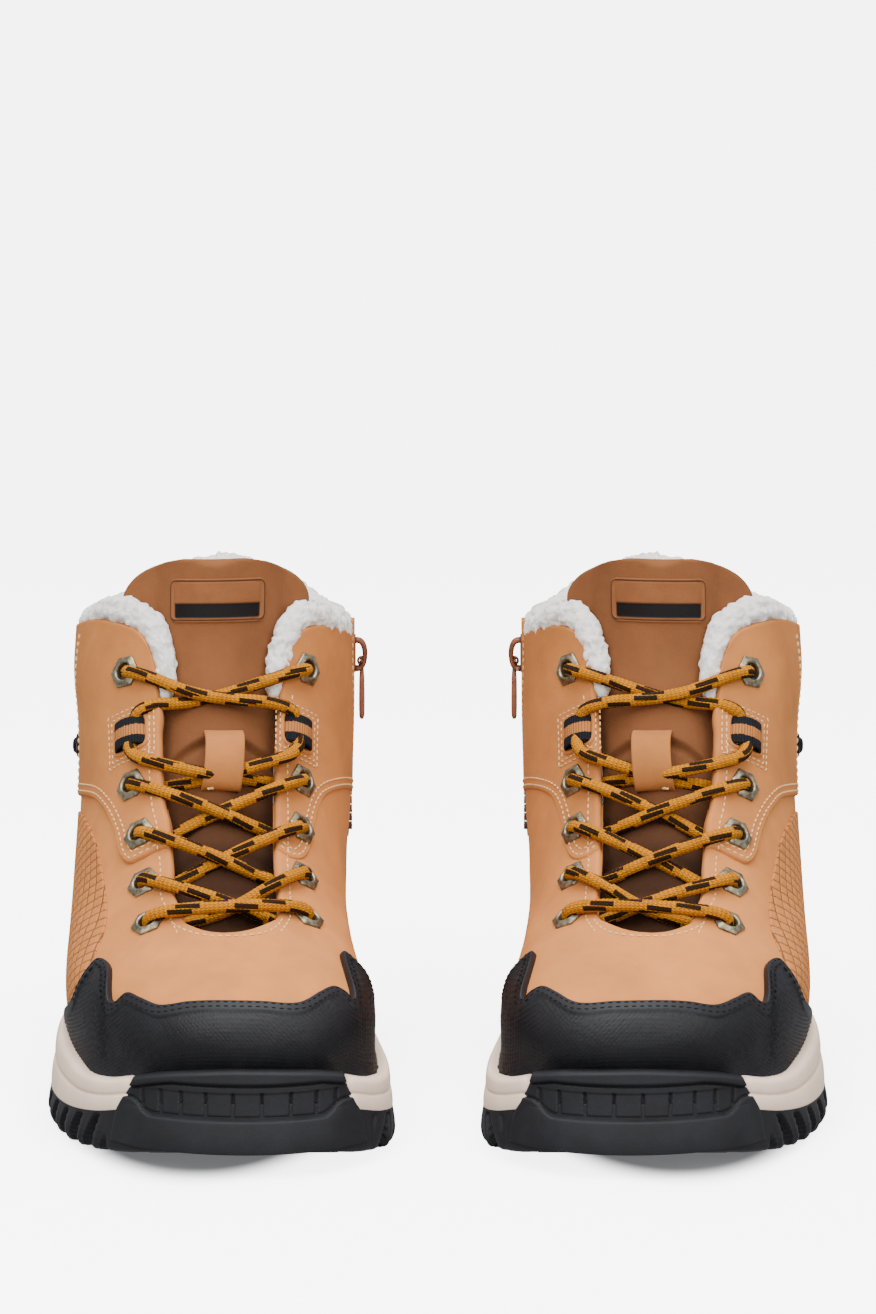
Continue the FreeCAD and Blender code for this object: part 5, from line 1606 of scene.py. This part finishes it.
def zip_pull():
    """Pull: an eye round the pin, a narrow neck, and a long rounded tab."""
    x, y, z = ZIP_WALL_X + 4.05, ZIP_Y, SLIDER_Z - 3.0
    a = np.arange(40) / 40 * TAU
    eye = np.stack((x + 1.45 * np.cos(a), np.full(40, y), z + 1.45 * np.sin(a)), -1)
    parts = [tube(eye, np.broadcast_to(np.array((0.0, 1.0, 0.0)), eye.shape), circle(0.52, 1.7, 14), closed=True)]
    share = np.linspace(0, 1, 60)
    down = z - 1.7 - share * 21.3
    half = smooth(np.array((0, .1, .22, .3, .9, .97, 1.0)), np.array((1.7, 1.9, 2.9, 3.15, 3.2, 2.6, 1.2)), share)
    thick = smooth(np.array((0, .1, .3, .92, 1.0)), np.array((1.5, 1.7, 2.1, 2.1, 1.2)), share)
    rings = np.stack([rounded_bar(t, 2 * h, min(0.7, t / 2.2), 6) for t, h in zip(thick, half)])
    path = np.stack((np.full(60, x), np.full(60, y), down), -1)
    parts.append(tube(path, np.broadcast_to(np.array((0.0, 1.0, 0.0)), path.shape), rings))
    return join(parts)


def zip_welts():
    """Folded leather edges down both sides of the zip, closing in a point below it."""
    parts = []
    for side in (-1, 1):
        z = np.linspace(ZIP_TOP + 1.5, ZIP_BOTTOM - 3, 90)
        gap = 4.1 * np.sqrt(np.clip((z - ZIP_BOTTOM + 3) / 7.0, 0, 1))
        start = np.full(90, ZIP_ANGLE), np.full(90, ZIP_LEVEL)
        angle, level = meet(1, ZIP_Y + side * gap, z, *start, (0.1, 0.5), 30)
        path = on_last(angle, level, INNER_LIFT - 0.15)
        parts.append(tube(path, last_normal(angle, level), circle(1.1, 0.75, 12)))
    return join(parts)


def zip_stitches():
    rows = []
    for side in (-1, 1):
        z = np.linspace(ZIP_TOP - 1, ZIP_BOTTOM - 6, 90)
        y = np.full(90, ZIP_Y + side * 7.2)
        x = np.full(90, ZIP_WALL_X)
        path = drop_on(np.stack((x, y, z), -1), ZIP_ANGLE, ZIP_LEVEL, INNER_LIFT + 0.12)
        normal = np.broadcast_to(np.array((1.0, 0, 0)), path.shape)
        rows.append(stitch_row(path, normal))
    return join(rows)


# ---- sole

def sole_edge(angle, z, extra=0.0):
    """x and y of the sole's side at an angle round it and a height, further out by extra."""
    grow = smooth(SOLE_PROFILE[:, 0], SOLE_PROFILE[:, 1], z) + extra
    t = (1 - np.cos(angle)) / 2
    side = np.sin(angle)
    half = np.where(side >= 0, smooth(STATIONS, SOLE_OUTER, t), smooth(STATIONS, SOLE_INNER, t)) + grow
    return smooth(STATIONS, FOOT_CENTRE, t) - side * half, SOLE_FRONT - grow + (SOLE_LENGTH + 2 * grow) * t


def sole_run(angle):
    """Length round the sole from the toe to each angle."""
    x, y = sole_edge(angle, 15.0)
    return np.concatenate(([0], np.cumsum(np.hypot(np.diff(x), np.diff(y)))))


def midsole():
    """Foam ring: two soft bands with a line between them, a rounded rim and a flat inside."""
    angle = np.linspace(0, TAU, 420)
    share = np.concatenate((np.linspace(0, 0.9, 34), (0.94, 0.97, 0.99, 1.0)))
    two = 1.0 - ((share * 2) % 1 * 2 - 1) ** 2
    shoulder = 1 - np.sqrt(np.clip(1 - ((share - 0.86) / 0.14).clip(0) ** 2, 0, 1))
    outward = 0.5 * two - 0.55 * bump(share, 0.5, 0.035) - 1.6 * shoulder
    inside = [(1.0, -3.2), (0.99, -6.0), (0.97, -16.0), (0.02, -16.0), (0.0, -15.0)]
    rows = [(s, e) for s, e in zip(share, outward)] + inside
    share, outward = np.array(rows).T
    x0, y0 = sole_edge(angle, 25.0)
    behind = ease(x0, -25, -20) * (1 - ease(x0, 50, 55)) * (y0 < -100)
    outward = outward[:, None] - 3.2 * behind[None]
    low, high = line_at(PARTING_LINE, y0) - 0.5, line_at(RIM_LINE, y0) - 5.0 * behind
    z = low[None] + share[:, None] * (high - low)[None]
    x, y = sole_edge(angle[None], z, outward)
    points = np.stack((x, y, z), -1)
    run = sole_run(angle)
    uv = np.stack(np.broadcast_arrays(run[None], z), -1).reshape(-1, 2)
    return points.reshape(-1, 3), grid_faces(len(share), len(angle), True, False), uv


def lug_wall(run, share, toe):
    """How far the side wall is cut back between its lugs: slanted slots that widen towards the ground."""
    pitch = 12.5
    q = run / pitch + 0.62 * share ** 1.4
    number = np.floor(q)
    off = np.abs(q - number - 0.5)
    width = 0.31 - 0.19 * share + 0.03 * np.sin(number * 2.4)
    slot = 1 - ease(off, width - 0.07, width + 0.03)
    lug = 0.9 * (1 - np.clip(((q - number) % 1 - 0.0), 0, 1)) * (1 - slot) * (1 - share)
    return (slot * (6.4 * (1 - share) ** 0.6) - lug) * (1 - ease(share, 0.80, 0.95)) * toe


def tread(x, y):
    """Depth of the tread's grooves: chevrons across, a channel along the middle and a plain arch."""
    bend = 7.0 * np.abs(x - smooth(STATIONS, FOOT_CENTRE, np.clip((y + 150) / 298, 0, 1))) / 40.0
    front_part = 1 - ease(y, -16, -10)
    back_part = ease(y, 48, 54)
    across = np.abs(((y + bend) / 14.0) % 1 - 0.5)
    cut = (1 - ease(across, 0.10, 0.19))
    middle = np.abs(x - 4 - 2.5 * np.sign(np.sin(y / 14.0 * TAU)))
    channel = (1 - ease(middle, 1.6, 3.4))
    block = np.maximum(cut, channel) * np.maximum(front_part, back_part)
    arch = ease(y, -12, -4) * (1 - ease(y, 44, 54))
    return 4.0 * block + 3.4 * arch


def outsole():
    """Rubber sole: treaded underside out to its edge, then the lugged side wall up to the foam."""
    angle = np.linspace(0, TAU, 620)
    run = sole_run(angle)
    reach = np.concatenate((np.linspace(0, 0.94, 40), (0.97, 0.99)))
    share = np.concatenate(((0.0, 0.02, 0.06, 0.12), np.linspace(0.2, 0.94, 20), (0.97, 1.0)))
    t = (1 - np.cos(angle)) / 2
    centre = smooth(STATIONS, FOOT_CENTRE, t)
    edge_y = sole_edge(angle, 2.0)[1]
    ground, top = line_at(TREAD_LINE, edge_y), line_at(PARTING_LINE, edge_y)
    low_x, low_y = sole_edge(angle, 14.0)
    toe = 1 - ease(low_x, -35, -31) * (1 - ease(low_x, 60, 64)) * (low_y < -100)
    z_wall = ground[None] + share[:, None] * (top - ground)[None]
    cut = lug_wall(run[None], share[:, None], toe[None])
    round_foot = 2.4 * (1 - np.sqrt(np.clip(1 - (1 - share / 0.16).clip(0) ** 2, 0, 1)))
    x_wall, y_wall = sole_edge(angle[None], z_wall, -cut - round_foot[:, None])
    x_edge, y_edge = x_wall[0], y_wall[0]
    x_low = centre[None] + (x_edge - centre)[None] * reach[:, None]
    y_low = np.broadcast_to(y_edge[None], x_low.shape)
    rim = ease(reach, 0.90, 0.99)[:, None]
    z_low = line_at(TREAD_LINE, y_low) + tread(x_low, y_low) * (1 - rim * 0.6)
    inner = (0.97, 0.6, 0.0)
    x_top = np.stack([centre + (x_wall[-1] - centre) * r for r in inner])
    y_top = np.broadcast_to(y_wall[-1][None], x_top.shape)
    z_top = np.broadcast_to(top[None] - 0.3, x_top.shape)
    points = np.concatenate((np.stack((x_low, y_low, z_low), -1), np.stack((x_wall, y_wall, z_wall), -1),
                             np.stack((x_top, y_top, z_top), -1)))
    rows = len(points)
    uv = np.stack(np.broadcast_arrays(run[None], np.arange(rows)[:, None] * 1.5), -1).reshape(-1, 2)
    return points.reshape(-1, 3), grid_faces(rows, len(angle)), uv


WRAP_LIMITS = np.array(((7.0, -31, 60), (14, -30, 59), (20, -29, 58), (27, -27, 55.5), (33, -24, 53), (40, -21, 51)),
                       float)
WRAP_TOP = np.array(((-22, 31.5), (-12, 34.2), (0.6, 36.0), (16.5, 36.9), (40, 35.6), (52, 33.2)), float)
RIB_GROOVES = (-17.8, -11.5, -4.4, 4.1, 13.6, 23.5, 33.4, 42.0, 48.4)


def toe_wrap():
    """Rubber turned up over the toe: a rolled lip, a band of upright ribs and a smooth foot."""
    foot = 8.5
    share = packed(190, 1.0, 90)
    nominal = foot + (40.0 - foot) * np.concatenate((np.linspace(0, 0.955, 96), (0.97, 0.983, 0.992, 0.998, 1.0)))
    left, right = (smooth(WRAP_LIMITS[:, 0], WRAP_LIMITS[:, k], nominal) for k in (1, 2))
    x = left[:, None] + (right - left)[:, None] * share[None]
    table = np.linspace(-1.1, 1.1, 2000)
    angle = np.stack([np.interp(row, sole_edge(table, level)[0][::-1], table[::-1]) for row, level in zip(x, nominal)])
    top = smooth(WRAP_TOP[:, 0], WRAP_TOP[:, 1], x)
    z = foot + (nominal[:, None] - foot) / (40.0 - foot) * (top - foot)
    end = np.minimum(share, 1 - share)[None] * 90
    bow = 20.4 + 4.5 * (1 - ease(end, 3.0, 15.0))
    lip_line = np.minimum(31.6, top - 3.4)
    foot_swell = 1.8 * np.sqrt(np.clip(1 - ((z - 13.5) / 8.5) ** 2, 0, 1)) * ease(bow - z, 0, 1.2) * ease(end, 1, 14)
    lip = 1.5 * dome(np.clip(z - lip_line, 0, None), 1.4)
    lines = -1.3 * bump(z, bow, 0.5) - 0.9 * bump(z, lip_line - 0.2, 0.4)
    nearest = np.abs(x[..., None] - np.array(RIB_GROOVES)).min(-1)
    in_ribs = ease(z, bow + 0.2, bow + 0.9) * (1 - ease(z, 28.4, 29.2))
    ribs = -1.3 * (1 - ease(nearest, 0.22, 0.6)) * in_ribs - 0.35 * in_ribs
    edge = dome(np.minimum(end, top + 0.2 - z), 1.4)
    out = -1.6 + (2.3 + foot_swell + lip + lines + ribs) * edge
    shown, hidden = (np.stack((*sole_edge(angle, z, depth), z), -1) for depth in (out, -3.2))
    return closed_pair(shown, hidden, np.stack((x, z), -1))


# ---- stage

EYE = (0.0, -1.450, 0.340)
PITCH = math.radians(7.02)
FOCAL, SENSOR = 105.9, 36.0


def make_stage():
    """Pale floor that curves up into a wall all round: a profile of a flat, a quarter round and a wall, turned about
    the upright axis. Round the soles its colour and glow darken into a painted contact shadow."""
    bend = np.linspace(0, math.pi / 2, 20)
    profile = np.concatenate((((0.0, 0.0), (0.6, 0.0), (2.0, 0.0)),
                              np.stack((2.6 + 1.0 * np.sin(bend), 1.0 - np.cos(bend)), -1), ((3.6, 5.0),)))
    a = np.arange(96) / 96 * TAU
    points = np.stack(np.broadcast_arrays(profile[:, :1] * np.cos(a), profile[:, :1] * np.sin(a), profile[:, 1:]), -1)
    f = Finish("paper")
    cloud = f.noise(0.4, 2.0, 0.5)
    shade = f.mix(cloud, colour(243, 244, 245), colour(245, 245, 246))
    split = f.node("ShaderNodeSeparateXYZ", None, {0: f.place()})
    across, back = Value(f, split.outputs[0]).size() / 0.058 - 1.448, Value(f, split.outputs[1]) / 0.156
    reach = across * across + back * back                       # 1 at the soles' outline
    # Painted contact shadow: inside the soles' outline the floor's colour and glow turn dark, fading out beyond it.
    under = (1.0 - reach.between(0.80, 1.18)) * 0.9 + (1.0 - reach.between(0.9, 1.9)) * 0.1
    paper = f.done(Base_Color=f.mix(under * 0.8, shade, (0.1, 0.1, 0.105, 1.0)), Roughness=0.9 + cloud * 0.05,
                   Specular_IOR_Level=0.1, Emission_Strength=5.2,
                   Emission_Color=f.mix(under, (0.995, 0.998, 1.0, 1.0), (0.03, 0.03, 0.032, 1.0)))
    uv = np.zeros((points.shape[0] * points.shape[1], 2))
    faces = grid_faces(len(profile), len(a), False, True)[:, ::-1]
    floor = make_mesh("backdrop", points.reshape(-1, 3), faces, uv, paper)
    floor.visible_diffuse = False
    floor.visible_glossy = False
    floor.visible_shadow = False
    world = bpy.data.worlds.new("studio")
    world.use_nodes = True
    world.node_tree.nodes["Background"].inputs[0].default_value = (1.0, 1.0, 1.0, 1.0)
    world.node_tree.nodes["Background"].inputs[1].default_value = 0.7
    bpy.context.scene.world = world
    lamps = (("key", (-0.9, -1.5, 1.5), 1.1, 32.0), ("fill", (1.1, -1.3, 1.1), 1.2, 20.0),
             ("top", (0.0, -0.2, 1.9), 1.6, 60.0), ("low", (0.0, -1.9, 0.35), 1.0, 6.0))
    for name, place, size, power in lamps:
        light = bpy.data.lights.new(name, "AREA")
        light.size, light.energy = size, power
        lamp = bpy.data.objects.new(name, light)
        lamp.location = place
        aim = np.array((0.0, 0.0, 0.09)) - np.array(place)
        lamp.rotation_euler = (math.acos(-aim[2] / np.linalg.norm(aim)), 0.0, math.atan2(aim[1], aim[0]) - math.pi / 2)
        bpy.context.scene.collection.objects.link(lamp)
    camera_data = bpy.data.cameras.new("camera")
    camera_data.sensor_fit = "VERTICAL"
    camera_data.sensor_height = SENSOR
    camera_data.lens = FOCAL
    camera = bpy.data.objects.new("camera", camera_data)
    camera.location = EYE
    camera.rotation_euler = (math.pi / 2 - PITCH, 0.0, 0.0)
    bpy.context.scene.collection.objects.link(camera)
    bpy.context.scene.camera = camera


# ---- add-on

class BOOTS_OT_sole(bpy.types.Operator):
    """Make the outsoles, their toe wraps and the foam midsoles"""
    bl_idname = "boots.sole"
    bl_label = "Soles"

    def execute(self, context):
        both("sole_block", outsole(), finish("sole"), ("outsole",))
        both("toe_wrap", toe_wrap(), finish("sole"), ("outsole",))
        both("foam_band", midsole(), finish("foam"), ("midsole",))
        return {"FINISHED"}


class BOOTS_OT_upper(bpy.types.Operator):
    """Make the vamps, quarters, backstays and side panels"""
    bl_idname = "boots.upper"
    bl_label = "Uppers"

    def execute(self, context):
        both("vamp_leather", join([half_vamp(1), half_vamp(-1)]), finish("toe"), ("vamp",))
        both("outer_quarter", quarter(1), finish("upper"), ("quarter_lateral", "ankle_overlay"))
        both("inner_quarter", quarter(-1), finish("upper"), ("quarter_medial",))
        both("back_strip", backstay(), finish("upper"), ("backstay",))
        both("side_panel", panel(), finish("net"), ("lateral_panel",))
        both("toe_cap", guard(), finish("guard"), ("toe_guard",))
        return {"FINISHED"}


class BOOTS_OT_stitching(bpy.types.Operator):
    """Sew the stitch rows on the uppers, guards and backstays"""
    bl_idname = "boots.stitching"
    bl_label = "Stitching"

    def execute(self, context):
        both("upper_stitches", upper_stitches(), finish("thread"))
        both("guard_stitches", guard_stitches(), finish("black_thread"))
        both("backstay_stitches", backstay_stitches(), finish("thread"))
        both("zip_stitches", zip_stitches(), finish("thread"))
        return {"FINISHED"}


class BOOTS_OT_lining(bpy.types.Operator):
    """Make the fleece linings, the rolls at the collars and the insoles"""
    bl_idname = "boots.lining"
    bl_label = "Linings"

    def execute(self, context):
        for piece in both("collar_fleece", collar_roll(), finish("fleece"), ("collar_roll",)):
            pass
        for piece in both("inner_fleece", lining(), finish("fleece"), ("lining",)):
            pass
        for piece in both("insole", footbed(), finish("fleece"), ("footbed",)):
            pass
        return {"FINISHED"}


class BOOTS_OT_tongue(bpy.types.Operator):
    """Make the padded tongues with their patches and lace keepers"""
    bl_idname = "boots.tongue"
    bl_label = "Tongues"

    def execute(self, context):
        for piece in both("tongue_leather", tongue(), finish("tongue"), ("tongue", "tongue_padding")):
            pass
        for piece in both("tongue_fleece", tongue_fleece(), finish("fleece"), ("tongue_padding",)):
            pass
        both("plain_patch", tongue_patch(), finish("patch"), ("tongue_patch",))
        both("keeper_strap", keeper(), finish("strap"), ("lace_keeper",))
        both("keeper_knot", knots(), finish("thread"))
        return {"FINISHED"}


class BOOTS_OT_hardware(bpy.types.Operator):
    """Set the eyelets, the webbing loops and the ankle studs"""
    bl_idname = "boots.hardware"
    bl_label = "Eyelets and loops"

    def execute(self, context):
        both("hex_eyelets", eyelets(), finish("eyelet"), ("eyelets",))
        both("webbing_loops", loops(), finish("band"), ("lace_loops",))
        both("window_rims", window_rims(), finish("upper"))
        both("rivet", ankle_stud(), finish("dark_metal"), ("ankle_stud",))
        return {"FINISHED"}


class BOOTS_OT_laces(bpy.types.Operator):
    """Lace both boots with a braided cord of its real length"""
    bl_idname = "boots.laces"
    bl_label = "Laces"

    def execute(self, context):
        for side in SIDES:
            piece, line, length = make_lace(side)
            tips = make_tips(side, line)
            for made, slot, node in ((piece, "lace_cord", "lace"), (tips, "clear_plastic", "aglets")):
                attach(made, side + "_boot")
                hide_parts(side + "_" + node)
        return {"FINISHED"}


class BOOTS_OT_zips(bpy.types.Operator):
    """Make the zips' sliders, pulls and folded edges"""
    bl_idname = "boots.zips"
    bl_label = "Zips"

    def execute(self, context):
        both("slider_body", zip_slider(), finish("zip_metal"), ("zip_slider",), "zip_slider")
        both("pull_tab", zip_pull(), finish("pull"), ("zip_pull",), "zip_pull")
        both("zip_welts", zip_welts(), finish("upper"))
        kept = {"zip_tape": "zip_cloth", "zip_teeth": "zip_plastic", "shank": "steel", "insole_board": "board",
                "toe_puff": "stiffener", "heel_counter": "stiffener"}
        for node, name in kept.items():
            for side in SIDES:
                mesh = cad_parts[side + "_" + node].data
                mesh.materials.clear()
                mesh.materials.append(finish(name))
        return {"FINISHED"}


class BOOTS_OT_stage(bpy.types.Operator):
    """Set up the backdrop, the lights and the camera"""
    bl_idname = "boots.stage"
    bl_label = "Stage"

    def execute(self, context):
        make_stage()
        return {"FINISHED"}


OPERATORS = (BOOTS_OT_sole, BOOTS_OT_upper, BOOTS_OT_stitching, BOOTS_OT_lining, BOOTS_OT_tongue,
             BOOTS_OT_hardware, BOOTS_OT_laces, BOOTS_OT_zips, BOOTS_OT_stage)


class BOOTS_PT_panel(bpy.types.Panel):
    """Lists the boots' pieces, sizes and colours"""
    bl_idname = "BOOTS_PT_panel"
    bl_label = "Boots"
    bl_space_type = "VIEW_3D"
    bl_region_type = "UI"
    bl_category = "Boots"

    def draw(self, context):
        for operator in OPERATORS:
            self.layout.operator(operator.bl_idname)
        for group in (context.scene.boots_sizes, context.scene.boots_colours):
            for name in type(group).__annotations__:
                self.layout.prop(group, name)


CLASSES = (BOOTS_PG_sizes, BOOTS_PG_colours) + OPERATORS + (BOOTS_PT_panel,)


def register():
    for one in CLASSES:
        bpy.utils.register_class(one)
    bpy.types.Scene.boots_sizes = bpy.props.PointerProperty(type=BOOTS_PG_sizes)
    bpy.types.Scene.boots_colours = bpy.props.PointerProperty(type=BOOTS_PG_colours)


def unregister():
    del bpy.types.Scene.boots_colours
    del bpy.types.Scene.boots_sizes
    for one in reversed(CLASSES):
        bpy.utils.unregister_class(one)


def main():
    register()
    for operator in OPERATORS:
        group, name = operator.bl_idname.split(".")
        getattr(getattr(bpy.ops, group), name)()


if __name__ == "__main__":
    main()
